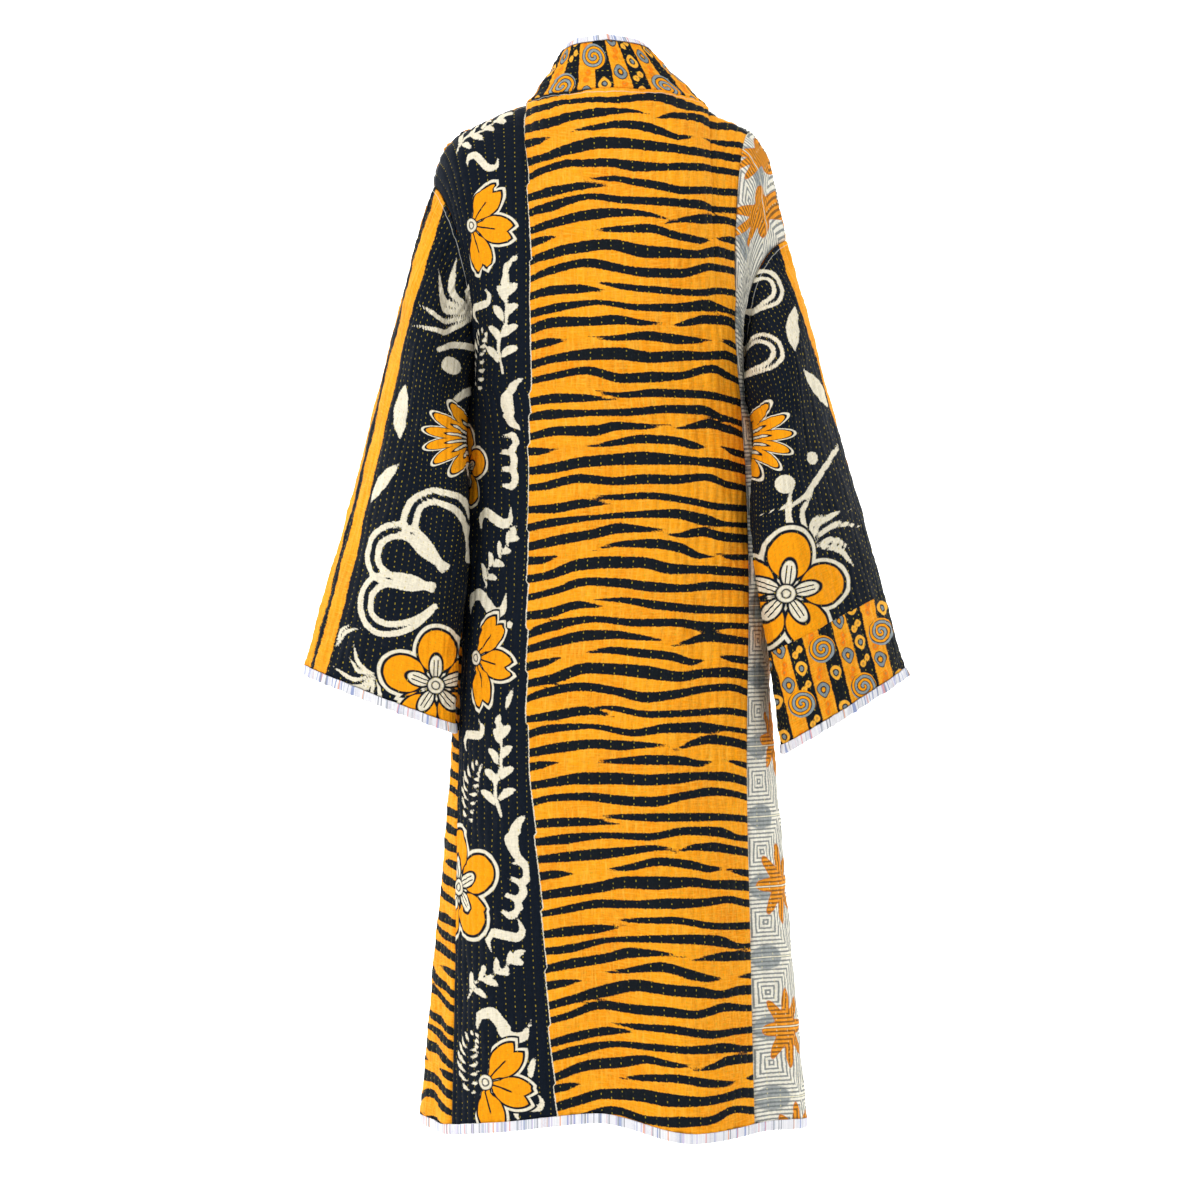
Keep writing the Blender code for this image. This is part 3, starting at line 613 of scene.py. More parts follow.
# The tiger stripes of one repeat. Each is a line of points: part of the panel's width from the
# border, millimetres down, half width. Some cross the panel, others taper out or start half way.
TIGER = (
    ((-0.03, 6, 3.2), (0.12, 1, 4.4), (0.25, -3, 3.9), (0.38, -1, 0.2)),
    ((0.28, -10, 0.2), (0.40, -8, 2.6), (0.55, -6, 3.6), (0.75, -3, 3.5), (0.90, -2, 3.3), (1.15, 3, 3.2)),
    ((-0.03, 25, 3.2), (0.12, 17, 4.3), (0.30, 12, 2.6), (0.48, 14, 3.4), (0.64, 12, 4.0), (0.80, 14, 4.9),
     (0.92, 18, 2.6), (1.15, 22, 2.8)),
    ((-0.03, 44, 3.4), (0.14, 35, 4.6), (0.28, 31, 4.6), (0.40, 28, 4.3), (0.52, 29, 2.6), (0.64, 31, 0.2)),
    ((0.62, 36, 0.2), (0.72, 31, 3.0), (0.81, 28, 4.4), (0.92, 31, 4.1), (1.15, 39, 3.4)),
    ((-0.03, 60, 4.0), (0.07, 56, 3.6), (0.16, 52, 0.2)),
    ((0.26, 49, 0.2), (0.38, 46, 2.8), (0.52, 44, 4.2), (0.66, 48, 4.2), (0.76, 53, 3.0), (0.84, 52, 0.2)),
    ((0.86, 50, 0.2), (0.96, 54, 3.0), (1.15, 60, 3.4)),
    ((-0.03, 80, 3.5), (0.10, 74, 4.1), (0.25, 66, 5.2), (0.38, 64, 5.4), (0.52, 66, 5.6), (0.66, 68, 4.8),
     (0.77, 68, 3.8), (0.90, 68, 4.6), (1.15, 77, 3.8)),
    ((-0.03, 99, 2.8), (0.10, 91, 3.5), (0.25, 84, 3.9), (0.40, 88, 4.0), (0.54, 90, 4.8), (0.67, 89, 3.8),
     (0.82, 84, 3.7), (0.93, 87, 3.3), (1.15, 96, 3.0)),
)
TIGER_REPEAT, TIGER_WIDTH = 114.0, 246.0


def tiger_field(across, down, left):
    """Stripes across the cloth, from its border on the left over to the right."""
    field = np.full(across.shape, -9.0)
    for repeat in range(-1, 11):
        for row, stripe in enumerate(TIGER):
            part, y, half = np.array(stripe).T
            level = y + repeat * TIGER_REPEAT
            wave = 3.0 * np.sin(part * 8 + level / 70) + 1.1 * np.sin(part * 23 + row * 1.7 + repeat)
            x = part + 0.02 * math.sin(repeat * 2.3 + row * 1.9)
            thick = 1.20 * half * (1 + 0.10 * np.sin(part * 31 + row + 3 * repeat))
            draw_stroke(field, left - across, down, list(zip(x * TIGER_WIDTH, level + wave)), thick)
    return field


BORDER = (
    # down, how far out its edge lies
    (-10, 109.0),
    (25, 106.5),
    (89, 94.5),
    (212, 86.0),
    (668, 88.0),
    (740, 85.0),
    (845, 74.5),
    (930, 68.0),
    (1046, 60.5),
    (1150, 50.0),
)
BORDER_MOTIFS = (
    # kind, or a flower's number of petals, then out, down, size, turn
    ("sprig", 140, 42, 38, -58),
    ("squiggle", 137, 79, 20, 20),
    (5.9, 148, 150, 54, -10),
    ("lens", 106, 196, 15, 60),
    ("sprig", 112, 258, 54, -9),
    ("squiggle", 137, 238, 20, 70),
    ("feather", 140, 292, 34, 66),
    ("crescent", 101, 347, 31, 0),
    ("cloud", 106, 410, 31, 0),
    (5.1, 152, 414, 44, 10),
    ("squiggle", 122, 470, 26, 35),
    ("sprig", 118, 512, 41, -40),
    ("squiggle", 131, 563, 31, 25),
    (5.9, 142, 622, 56, -12),
    ("dot", 104, 586, 4, 0),
    ("lens", 104, 666, 13, 70),
    ("squiggle", 145, 706, 22, 60),
    ("sprig", 116, 738, 54, -4),
    ("feather", 148, 764, 34, 70),
    ("crescent", 96, 817, 29, 0),
    ("cloud", 98, 873, 31, -16),
    (5.1, 160, 872, 62, 24),
    ("squiggle", 110, 920, 24, 52),
    ("sprig", 124, 962, 44, -56),
    ("squiggle", 112, 1017, 32, 15),
    (5.9, 130, 1078, 56, -16),
    ("feather", 150, 1056, 34, 80),
    ("lens", 80, 1062, 14, 75),
    ("squiggle", 84, 1104, 18, 60),
)
back_across, back_down = cloth_place(back_points, np.abs(back_points[:, :, 0]).argmin(axis=1))
border_edge = read_table(BORDER, back_down)[..., 0]
back_fields = print_motifs(back_points, back_across, back_down, BORDER_MOTIFS)
in_border = back_across - border_edge
back_fields["cream"] = np.minimum(back_fields["cream"], in_border - 10)
back_fields["tiger"] = tiger_field(back_across, back_down, border_edge)
back_fields["border"] = in_border
back_fields["seam"] = from_top_edge(back_points)


def printed(tree, ground, ink, field, low, high, share=None):
    """Prints an ink over a ground where a field passes from the low value to the high one. A share
    from 0 to 1 thins the ink out."""
    mask = add_node(tree, "MapRange", field, low, high)
    if share is not None:
        mask = add_node(tree, "Math", mask, share, operation="MULTIPLY", use_clamp=True)
    return add_node(tree, "Mix", mask, ground, ink, data_type="RGBA")


NAVY, CREAM, BLACK = "0a131f", "e2dac4", "10161c"
GOLD, DEEP_GOLD, PALE_GOLD = "f29a0c", "de7c04", "f5b038"


def round_a_centre(tree, name):
    """The turn round a motif's centre and the distance from it, from the field of this name."""
    place = add_node(tree, "Attribute", attribute_name=name, output="Vector")
    x = add_node(tree, "SeparateXYZ", place, output="X")
    y, radius = x.node.outputs["Y"], x.node.outputs["Z"]
    return add_node(tree, "Math", y, x, operation="ARCTAN2"), radius


def gap_between(tree, value, middle):
    """How far a value is from a middle, whichever side it is on."""
    gap = add_node(tree, "Math", value, middle, operation="SUBTRACT")
    return add_node(tree, "Math", gap, operation="ABSOLUTE")


def floral_print(tree):
    """Cream leaves, scrolls and golden flowers printed on navy: the flowers' petals lie round
    a centre, each golden, with a thin navy gap and then a cream outline."""
    colour = printed(tree, NAVY, CREAM, print_edge(tree, "cream"), -0.35, 0.35)
    angle, radius = round_a_centre(tree, "flower")
    petals = add_node(tree, "Attribute", attribute_name="petals", output="Fac")
    pitch = add_node(tree, "Math", 2 * math.pi, petals, operation="DIVIDE")
    turns = add_node(tree, "Math", angle, pitch, operation="DIVIDE")
    which = add_node(tree, "Math", turns, operation="ROUND")
    off = add_node(tree, "Math", turns, which, operation="SUBTRACT")
    off_angle = add_node(tree, "Math", off, pitch, operation="MULTIPLY")
    sine = add_node(tree, "Math", off_angle, operation="SINE")
    cosine = add_node(tree, "Math", off_angle, operation="COSINE")
    across = add_node(tree, "Math", radius, sine, operation="MULTIPLY")
    across = add_node(tree, "Math", across, operation="ABSOLUTE")
    along = add_node(tree, "Math", radius, cosine, operation="MULTIPLY")
    trio = add_node(tree, "Math", petals, 6.6, 0.9, operation="COMPARE")
    broad = add_node(tree, "Math", trio, -0.06, 1.66, operation="MULTIPLY_ADD")
    broad = add_node(tree, "Math", broad, petals, operation="DIVIDE")
    fan = add_node(tree, "Math", petals, 10.0, operation="GREATER_THAN")
    notch = add_node(tree, "MapRange", across, 0.0, 0.13, 0.17, 0.0)
    notch = add_node(tree, "Math", notch, trio, operation="MULTIPLY")
    tip = add_node(tree, "Math", along, notch, operation="ADD")
    ahead = add_node(tree, "MapRange", tip, 0.24, 1.0, -1.0, 1.0, clamp=False)
    aside = add_node(tree, "Math", across, broad, operation="DIVIDE")
    oval = add_node(tree, "CombineXYZ", ahead, aside, 0.0)
    oval = add_node(tree, "VectorMath", oval, operation="LENGTH", output="Value")
    reach = add_node(tree, "Math", fan, -4.5, 9.0, operation="MULTIPLY_ADD")
    reach = add_node(tree, "Math", trio, -7.5, reach, operation="MULTIPLY_ADD")
    spread = add_node(tree, "Math", turns, operation="ABSOLUTE")
    inside = add_node(tree, "Math", spread, reach, operation="LESS_THAN")
    for edge, ink in ((1.44, NAVY), (1.32, CREAM), (1.14, NAVY), (1.0, GOLD)):
        colour = printed(tree, colour, ink, oval, edge + 0.02, edge - 0.02, inside)
    near = add_node(tree, "MapRange", radius, 0.62, 0.58)
    near = add_node(tree, "Math", near, inside, operation="MULTIPLY")
    near = add_node(tree, "Math", near, trio, operation="MULTIPLY")
    colour = printed(tree, colour, BLACK, across, 0.020, 0.012, near)
    inner = add_node(tree, "MapRange", along, 0.10, 0.58, -1.0, 1.0, clamp=False)
    thin = add_node(tree, "Math", aside, 2.5, operation="MULTIPLY")
    inner = add_node(tree, "CombineXYZ", inner, thin, 0.0)
    inner = add_node(tree, "VectorMath", inner, operation="LENGTH", output="Value")
    single = add_node(tree, "Math", inside, trio, operation="SUBTRACT")
    for edge, ink in ((1.12, NAVY), (0.84, CREAM)):
        colour = printed(tree, colour, ink, inner, edge + 0.05, edge - 0.05, single)
    beside = add_node(tree, "Math", across, 0.035, 0.010, operation="COMPARE")
    reach = add_node(tree, "Math", along, 0.31, 0.15, operation="COMPARE")
    stamen = add_node(tree, "Math", beside, reach, operation="MULTIPLY")
    colour = printed(tree, colour, NAVY, stamen, 0.0, 1.0, single)
    for edge, ink in ((0.17, NAVY), (0.14, CREAM), (0.085, NAVY), (0.06, CREAM)):
        colour = printed(tree, colour, ink, radius, edge + 0.01, edge - 0.01)
    return colour


def cloth_noise(tree, stretch, detail, roughness):
    """Noise along and across the threads, on the cloth's own map."""
    uv = add_node(tree, "UVMap", uv_map="cloth")
    place = add_node(tree, "Mapping", uv, None, None, stretch)
    return add_node(tree, "TexNoise", place, 1.0, detail, roughness)


def finish_cloth(tree, shader, colour, height, shine):
    """Gives a cloth its colour and its relief, and sets how little it shines."""
    bump = add_node(tree, "Bump", 0.5, 0.0010)
    tree.links.new(height, bump.node.inputs["Height"])
    tree.links.new(bump, shader.inputs["Normal"])
    tree.links.new(colour, shader.inputs["Base Color"])
    shader.inputs["Specular IOR Level"].default_value = shine


def hand_quilted(tree, shader, colour, rows_to_a_row=1.0, thread="c9b32c"):
    """Finishes a printed cotton: slubby threads, running stitches in rows, and the small puckers
    that the stitches draw up. Stitches are drawn a little wide so that they show."""
    uv = add_node(tree, "UVMap", uv_map="cloth")
    u = add_node(tree, "SeparateXYZ", uv, output="X")
    warp = cloth_noise(tree, (6.5, 1.3, 1), 3.0, 0.65)
    weft = cloth_noise(tree, (1.3, 7.0, 1), 3.0, 0.65)
    threads = add_node(tree, "Math", warp, weft, operation="ADD")
    tone = add_node(tree, "MapRange", threads, 0.75, 1.25, 0.84, 1.14)
    colour = add_node(tree, "VectorMath", colour, tone, operation="SCALE")
    sewn = add_node(tree, "Attribute", attribute_name="seam", output="Fac")
    line = add_node(tree, "Math", sewn, TOP_STITCHING, 0.45, operation="COMPARE")
    colour = printed(tree, colour, "dcdcd4", line, 0.0, 1.0, 0.45)
    row = add_node(tree, "Math", u, rows_to_a_row, operation="MULTIPLY")
    nearest = add_node(tree, "Math", row, operation="ROUND")
    beside = gap_between(tree, row, nearest)
    beside = add_node(tree, "Math", beside, ROW_SPACING / rows_to_a_row, operation="MULTIPLY")
    start = add_node(tree, "TexWhiteNoise", nearest, noise_dimensions="1D", output="Value")
    waver = add_node(tree, "TexNoise", uv, 0.9, 2.0, 0.5)
    pitch = ROW_SPACING / STITCH_SPACING
    dash = add_node(tree, "Math", u.node.outputs["Y"], pitch, start, operation="MULTIPLY_ADD")
    dash = add_node(tree, "Math", waver, 1.1, dash, operation="MULTIPLY_ADD")
    dash = add_node(tree, "Math", dash, operation="FRACT")
    length = add_node(tree, "MapRange", gap_between(tree, dash, 0.5), 0.17, 0.13)
    width = add_node(tree, "MapRange", beside, 0.60, 0.30)
    worn = add_node(tree, "MapRange", add_node(tree, "TexNoise", uv, 1.7, 1.0, 0.5), 0.38, 0.55, 0.1, 0.62)
    stitch = add_node(tree, "Math", length, width, operation="MULTIPLY")
    colour = printed(tree, colour, thread, stitch, 0.0, 1.0, worn)
    valley = add_node(tree, "MapRange", beside, 0.0, 3.2, -1.0, 0.0)
    pucker = cloth_noise(tree, (0.7, 2.1, 1), 2.0, 0.5)
    height = add_node(tree, "Math", pucker, 1.5, valley, operation="MULTIPLY_ADD")
    height = add_node(tree, "Math", threads, 0.32, height, operation="MULTIPLY_ADD")
    height = add_node(tree, "Math", stitch, 0.7, height, operation="MULTIPLY_ADD")
    finish_cloth(tree, shader, colour, height, 0.12)


def worn_gold(tree):
    """Gold dye, deeper in patches, and rubbed pale along the threads and the rows of stitches."""
    patchy = cloth_noise(tree, (0.16, 0.16, 0.16), 3.0, 0.55)
    gold = printed(tree, GOLD, DEEP_GOLD, patchy, 0.42, 0.68, 0.7)
    weft = cloth_noise(tree, (0.7, 6.0, 1), 4.0, 0.7)
    warp = cloth_noise(tree, (4.0, 0.35, 1), 4.0, 0.7)
    rubbed = add_node(tree, "Math", weft, warp, operation="MAXIMUM")
    return printed(tree, gold, PALE_GOLD, rubbed, 0.47, 0.68, 0.95)


def print_edge(tree, name):
    """A field of a print, in millimetres. Its edge strays a little along the threads."""
    field = add_node(tree, "Attribute", attribute_name=name, output="Fac")
    stray = cloth_noise(tree, (5.0, 5.0, 5.0), 3.0, 0.6)
    stray = add_node(tree, "MapRange", stray, 0.3, 0.7, -0.6, 0.6)
    return add_node(tree, "Math", field, stray, operation="ADD")


# Block-printed hand-loomed cotton, dyed gold with black tiger stripes and a navy border.
# Soft with wear and quite matt.
printed_cotton, tree, shader = new_material("block_printed_cotton", 0.86)
whole = printed(tree, worn_gold(tree), BLACK, print_edge(tree, "tiger"), -0.4, 0.4)
border = print_edge(tree, "border")
whole = printed(tree, whole, CREAM, border, -1.2, -0.8)
whole = printed(tree, whole, floral_print(tree), border, -0.4, 0.4)
hand_quilted(tree, shader, whole)

BACK_FOLDS = (
    # from out, down, to out, down, half width, height
    (138, 320, 150, 560, 14, 4.0),
    (166, 150, 128, 430, 11, 3.0),
    (150, 250, 118, 620, 13, -2.6),
    (120, 140, 92, 420, 16, 2.2),
    (-150, 170, -118, 470, 11, 2.6),
    (-128, 300, -112, 700, 14, -2.4),
    (60, 330, 44, 900, 22, 2.4),
    (-40, 260, -64, 860, 24, -2.2),
    (100, 560, 118, 1120, 20, 2.8),
    (10, 420, 4, 1040, 20, -1.8),
    (-90, 480, -104, 1120, 18, 2.2),
)
body_panel("back_panel", back_points, back_normals, BACK_ROWS, BACK_FOLDS, back_fields, printed_cotton,
           flat=(0.385, 1.150), rests_on=["collar_band"], area=0.40)

# Side strip: a narrow length of grey cotton joined between the back and the right side seam.
# Fine cream and grey lines are printed on it in nested blocks, with rusty striped blossoms.
STRIP_ROWS = 6
BLOCK_HALF_WIDTH, BLOCK_HALF_HEIGHT, LINE_SPACING = 30.0, 38.5, 1.9  # millimetres
grey_cotton, tree, shader = new_material("line_printed_grey_cotton", 0.88)
uv = add_node(tree, "UVMap", uv_map="cloth")
millimetres = add_node(tree, "VectorMath", uv, ROW_SPACING, operation="SCALE")
u = add_node(tree, "SeparateXYZ", millimetres, output="X")
v = u.node.outputs["Y"]
block_x = add_node(tree, "Math", u, 11.0, operation="ADD")
block_x = add_node(tree, "Math", block_x, BLOCK_HALF_WIDTH, operation="PINGPONG")
block_y = add_node(tree, "Math", v, BLOCK_HALF_HEIGHT, operation="PINGPONG")
nested = add_node(tree, "Math", block_y, 0.85, operation="MULTIPLY")
nested = add_node(tree, "Math", block_x, nested, operation="MAXIMUM")
stray = add_node(tree, "MapRange", cloth_noise(tree, (5.0, 5.0, 5.0), 3.0, 0.6), 0.3, 0.7, -0.3, 0.3)
nested = add_node(tree, "Math", nested, stray, operation="ADD")
line = add_node(tree, "Math", nested, LINE_SPACING, operation="PINGPONG")
far_x = add_node(tree, "Math", block_x, 0.9, operation="MULTIPLY")
far_y = add_node(tree, "Math", BLOCK_HALF_HEIGHT, block_y, operation="SUBTRACT")
from_knot = add_node(tree, "CombineXYZ", far_x, far_y, 0.0)
from_knot = add_node(tree, "VectorMath", from_knot, operation="LENGTH", output="Value")
ground = printed(tree, "e6e2d4", "8b9294", from_knot, 14.5, 12.5, 0.85)
angle, radius = round_a_centre(tree, "blossom")
lobes = add_node(tree, "Math", angle, 8.0, operation="MULTIPLY")
lobes = add_node(tree, "Math", lobes, operation="COSINE")
petal_edge = add_node(tree, "Math", lobes, 0.26, 0.76, operation="MULTIPLY_ADD")
in_petal = add_node(tree, "Math", petal_edge, radius, operation="SUBTRACT")
rim = add_node(tree, "Math", in_petal, operation="ABSOLUTE")
ground = printed(tree, ground, "ea9422", in_petal, -0.02, 0.02)
inks = printed(tree, "6d7476", "6a4a22", in_petal, -0.02, 0.02)
pale = printed(tree, ground, inks, line, 0.95, 1.25, 0.85)
pale = printed(tree, pale, "c06a10", rim, 0.045, 0.02, 0.8)
pale = printed(tree, pale, "ece6cc", far_y, 0.9, 0.5, 0.9)
hand_quilted(tree, shader, pale, thread="e8dca8")
BLOSSOMS = (
    # out, down, size
    (-176, 66, 30),
    (-168, 132, 38),
    (-170, 400, 36),
    (-176, 556, 38),
    (-182, 712, 40),
    (-189, 870, 42),
    (-197, 1027, 42),
    (-206, 1150, 40),
)


def blossom_field(points, table):
    """The place inside the nearest striped blossom, in its own radii."""
    across, down = cloth_place(points)
    field = np.zeros(across.shape + (3,)) + (0, 0, 9)
    for out, drop, size in table:
        put_flower(field, across, down, *spot_on(points, across, down, out, drop), size)
    return {"blossom": field}


strip_line = np.vstack([strip_corner, right_ridge[-right_ridge[:, 0] > STRIP_TOP]])[::-1]
right_side_seam = np.full(len(SKIRT_LEVELS), -1.0)
strip_points, strip_normals = panel_grid(
    right_side_seam, right_back_seam, top_edge(strip_line, STRIP_ROWS),
    BACK_PULLS, (-1, STRIP_PLACE), (-0.5, 1, 0),
)
STRIP_FOLDS = (
    (-170, 320, -176, 580, 14, 4.0),
    (-160, 420, -176, 1100, 12, 2.2),
    (-184, 640, -204, 1110, 12, -1.8),
)
body_panel("back_side_strip", strip_points, strip_normals, STRIP_ROWS, STRIP_FOLDS,
           blossom_field(strip_points, BLOSSOMS), grey_cotton,
           flat=(0.110, 1.110), rests_on=["back_panel_cloth"], area=0.075)

# Left front: the printed cotton goes on from the back's seam round the side to the band.
LEFT_FRONT_ROWS = 22
BAND_SEAM = 0.082
LEFT_FRONT_PULLS = (
    (0.00, (-0.030, -0.190, 0.250), (0.060, 0.210, 0.060)),
    (0.45, (0.000, -0.060, 0.300), (0.000, 0.190, 0.000)),
    (1.00, (0.000, -0.020, 0.300), (0.000, 0.160, 0.110)),
)
FRONT_FOLDS = (
    # from out, down, to out, down, half width, height
    (138, 320, 150, 560, 14, 4.0),
    (150, 170, 128, 470, 13, 2.6),
    (118, 130, 112, 620, 14, -2.2),
    (146, 420, 172, 1110, 16, 2.4),
    (104, 480, 108, 1110, 16, -2.0),
    (184, 560, 200, 1110, 13, -1.8),
)
left_points, left_normals = panel_grid(
    left_back_seam, 2 - place_of(SKIRT_LEVELS, BAND_SEAM, 1),
    top_edge(left_ridge[::-1], LEFT_FRONT_ROWS), LEFT_FRONT_PULLS, (0, 1), (0.4, -1, 0),
)
left_across, left_down = cloth_place(left_points)
left_fields = print_motifs(left_points, left_across, left_down, ())
left_fields["tiger"] = tiger_field(-left_across, left_down + 6, 0.0)
left_fields["border"] = 0 * left_across - 9
left_fields["seam"] = from_top_edge(left_points)
body_panel("left_front", left_points, left_normals, LEFT_FRONT_ROWS, FRONT_FOLDS, left_fields,
           printed_cotton, flat=(0.280, 1.130), rests_on=["back_panel_cloth"], area=0.20)

# Right front: the same grey cotton, from the side seam round to the band, with blossoms in rows.
RIGHT_FRONT_ROWS = 15
RIGHT_FRONT_PULLS = (
    (0.00, (0.030, -0.170, 0.190), (-0.090, 0.195, 0.055)),
    (0.45, (0.010, -0.060, 0.300), (-0.010, 0.190, 0.000)),
    (1.00, (0.000, -0.020, 0.300), (0.000, 0.160, 0.110)),
)
FRONT_BLOSSOMS = [(-118 - 56 * (k % 2), 96 + 78 * k, 40) for k in range(14)]
right_points, right_normals = panel_grid(
    right_side_seam, -2 - place_of(SKIRT_LEVELS, BAND_SEAM, -1),
    top_edge(right_ridge[::-1], RIGHT_FRONT_ROWS), RIGHT_FRONT_PULLS, (0, 1), (-0.4, -1, 0),
)
mirrored_folds = [(-x0, z0, -x1, z1, half, height) for x0, z0, x1, z1, half, height in FRONT_FOLDS]
body_panel("right_front", right_points, right_normals, RIGHT_FRONT_ROWS, mirrored_folds,
           blossom_field(right_points, FRONT_BLOSSOMS), grey_cotton,
           flat=(0.235, 1.130), rests_on=["back_side_strip_cloth"], area=0.20)

# Sleeves: wide tubes of navy floral cotton sewn into dropped armholes. A gold edge stripe runs
# down the outside of each. The right one changes to striped cotton above the cuff.
LEFT_SLEEVE = (
    # outer x, y, z             inner x, y, z            half depth
    ((0.229, -0.005, -0.235), (0.163, 0.038, -0.375), 0.092),
    ((0.262, -0.010, -0.362), (0.157, 0.060, -0.450), 0.085),
    ((0.295, -0.012, -0.485), (0.160, 0.065, -0.550), 0.074),
    ((0.318, -0.012, -0.567), (0.164, 0.063, -0.633), 0.062),
    ((0.335, -0.010, -0.631), (0.167, 0.058, -0.694), 0.050),
)
RIGHT_SLEEVE = (
    ((-0.2235, -0.005, -0.250), (-0.169, 0.038, -0.378), 0.092),
    ((-0.2530, -0.010, -0.360), (-0.163, 0.062, -0.462), 0.085),
    ((-0.2870, -0.012, -0.478), (-0.171, 0.068, -0.570), 0.074),
    ((-0.3120, -0.012, -0.570), (-0.181, 0.066, -0.660), 0.062),
    ((-0.3300, -0.010, -0.634), (-0.191, 0.060, -0.717), 0.050),
)
SLEEVE_ROWS = 42
HEAD_PARTS = np.concatenate([np.linspace(0, 0.16, 9), np.linspace(0.16, 1, 38)[1:-1]])
SLEEVE_PARTS = 100  # rings below the head of the sleeve
PIECING_OUTSIDE, PIECING_INSIDE = 0.69, 0.62  # parts of that length above the pieced cloth's seam
PIECING_PART = 58  # the ring that follows that seam


def sleeve_points(side, rear, rear_normals, fore, fore_normals, table):
    """Rings of a sleeve from the armhole to the cuff, from the tip round the back."""
    low = len(SKIRT_LEVELS) - 1
    corners = np.vstack([rear[:low:-1], rear[low:low + 1], fore[low + 1:-1]])
    corner_normals = np.vstack([rear_normals[:low:-1], rear_normals[low:low + 1], fore_normals[low + 1:-1]])
    turns = np.linspace(0, 2 * math.pi, len(corners), endpoint=False)
    loop = np.roll(corners, -1, axis=0) - np.roll(corners, 1, axis=0)
    leaves = unit(np.cross(loop, corner_normals)) * side
    leaves = leaves * (0.045 + 0.040 * ((1 + np.cos(turns)) / 2) ** 3)[:, None]
    rings = []
    for outer, inner, depth in table:
        outer, inner = np.array(outer), np.array(inner)
        ring = (outer + inner) / 2 + np.outer(np.cos(turns), (outer - inner) / 2)
        rings.append(ring + np.outer(np.sin(turns), (0, depth, 0)))
    rings = np.array(rings)
    parts = HEAD_PARTS[:, None, None]
    head = hermite(corners, leaves, rings[0], rings[1] - rings[0], parts)
    places = np.linspace(0, 1, len(table))
    middle, slant = (PIECING_OUTSIDE + PIECING_INSIDE) / 2, (PIECING_OUTSIDE - PIECING_INSIDE) / 2
    lower = []
    for column, turn in enumerate(turns):
        seam = middle + slant * math.cos(turn)
        after = np.linspace(seam, 1, SLEEVE_PARTS - PIECING_PART + 1)[1:]
        parts = np.hstack([np.linspace(0, seam, PIECING_PART + 1), after])
        lower.append(read_table(list(zip(places, rings[:, column])), parts))
    points = np.concatenate([head, np.stack(lower, axis=1)])
    across = np.roll(points, -1, axis=1) - np.roll(points, 1, axis=1)
    normals = unit(np.cross(np.gradient(points, axis=0), across)) * side
    half = len(corners) // 2
    order = (np.arange(len(corners) + 1) + half) % len(corners)
    return points[:, order], normals[:, order]


SLEEVE_LEAN = 15  # degrees that the sleeve's threads lean outwards, as its outer edge does


def sleeve_place(points, side):
    """The place across and down a sleeve as it lies flat, the same on its back and its front."""
    lean = math.radians(SLEEVE_LEAN)
    base = points[len(HEAD_PARTS), points.shape[1] // 2]
    out, up = (points[..., 0] - base[0]) * 1000, (points[..., 2] - base[2]) * 1000
    across = out * math.cos(lean) + side * up * math.sin(lean)
    return across, side * out * math.sin(lean) - up * math.cos(lean)


navy_cotton, tree, shader = new_material("block_printed_navy_cotton", 0.86)
edge = print_edge(tree, "edge")
whole = floral_print(tree)
gold = worn_gold(tree)
for middle, half, ink in ((-1.0, 18.0, NAVY), (7.5, 7.5, gold), (-13.0, 8.0, gold)):
    whole = printed(tree, whole, ink, gap_between(tree, edge, middle), half + 0.3, half - 0.3)
hand_quilted(tree, shader, whole, rows_to_a_row=1.5)

LEFT_SLEEVE_FOLDS = (
    # from out, down, to out, down, half width, height
    (142, 240, 146, 620, 14, 8.0),
    (172, 160, 150, 330, 10, -7.0),
    (196, 130, 176, 420, 13, 3.4),
    (205, 250, 236, 640, 17, 2.8),
    (178, 360, 186, 690, 14, -2.8),
    (232, 330, 290, 620, 16, -2.2),
)
LEFT_SLEEVE_MOTIFS = (
    ("palm", 146, 246, 70, 86),
    ("arc", 152, 286, 30, -12),
    ("dot", 170, 304, 10, 0),
    ("arc", 150, 330, 26, 20),
    ("lens", 220, 355, 30, 84),
    (14.0, 154, 384, 42, 168),
    ("lens", 240, 432, 27, 52),
    ("loops", 152, 552, 118, 151),
    ("palm", 252, 640, 52, 150),
    ("palm", 296, 610, 44, 60),
    (5.1, 186, 652, 60, 18),
)
RIGHT_SLEEVE_FOLDS = (
    (-176, 240, -186, 620, 14, 8.0),
    (-166, 190, -150, 380, 10, -6.0),
    (-188, 160, -172, 420, 13, 3.2),
    (-200, 260, -236, 640, 17, 2.6),
    (-176, 400, -192, 700, 14, -2.6),
    (-226, 340, -284, 630, 16, -2.2),
)
RIGHT_SLEEVE_MOTIFS = (
    ("loop", -122, 250, 78, 32),
    ("loop", -124, 314, 72, 26),
    ("lens", -204, 264, 26, 88),
    ("lens", -227, 328, 26, -52),
    (14.0, -154, 384, 44, 6),
    ("dot", -223, 405, 7, 0),
    ("dot", -192, 434, 10, 0),
    ("vine", -210, 430, 44, 0),
    ("palm", -220, 502, 72, 0),
    (5.1, -194, 552, 66, 14),
)
SLEEVES = (
    (1, "left_sleeve", back_points[:, -1], back_normals[:, -1], left_points[:, 0], left_normals[:, 0],
     LEFT_SLEEVE, LEFT_SLEEVE_FOLDS, LEFT_SLEEVE_MOTIFS),
    (-1, "right_sleeve", strip_points[:, 0], strip_normals[:, 0], right_points[:, 0], right_normals[:, 0],
     RIGHT_SLEEVE, RIGHT_SLEEVE_FOLDS, RIGHT_SLEEVE_MOTIFS),
)
cuffs = {}
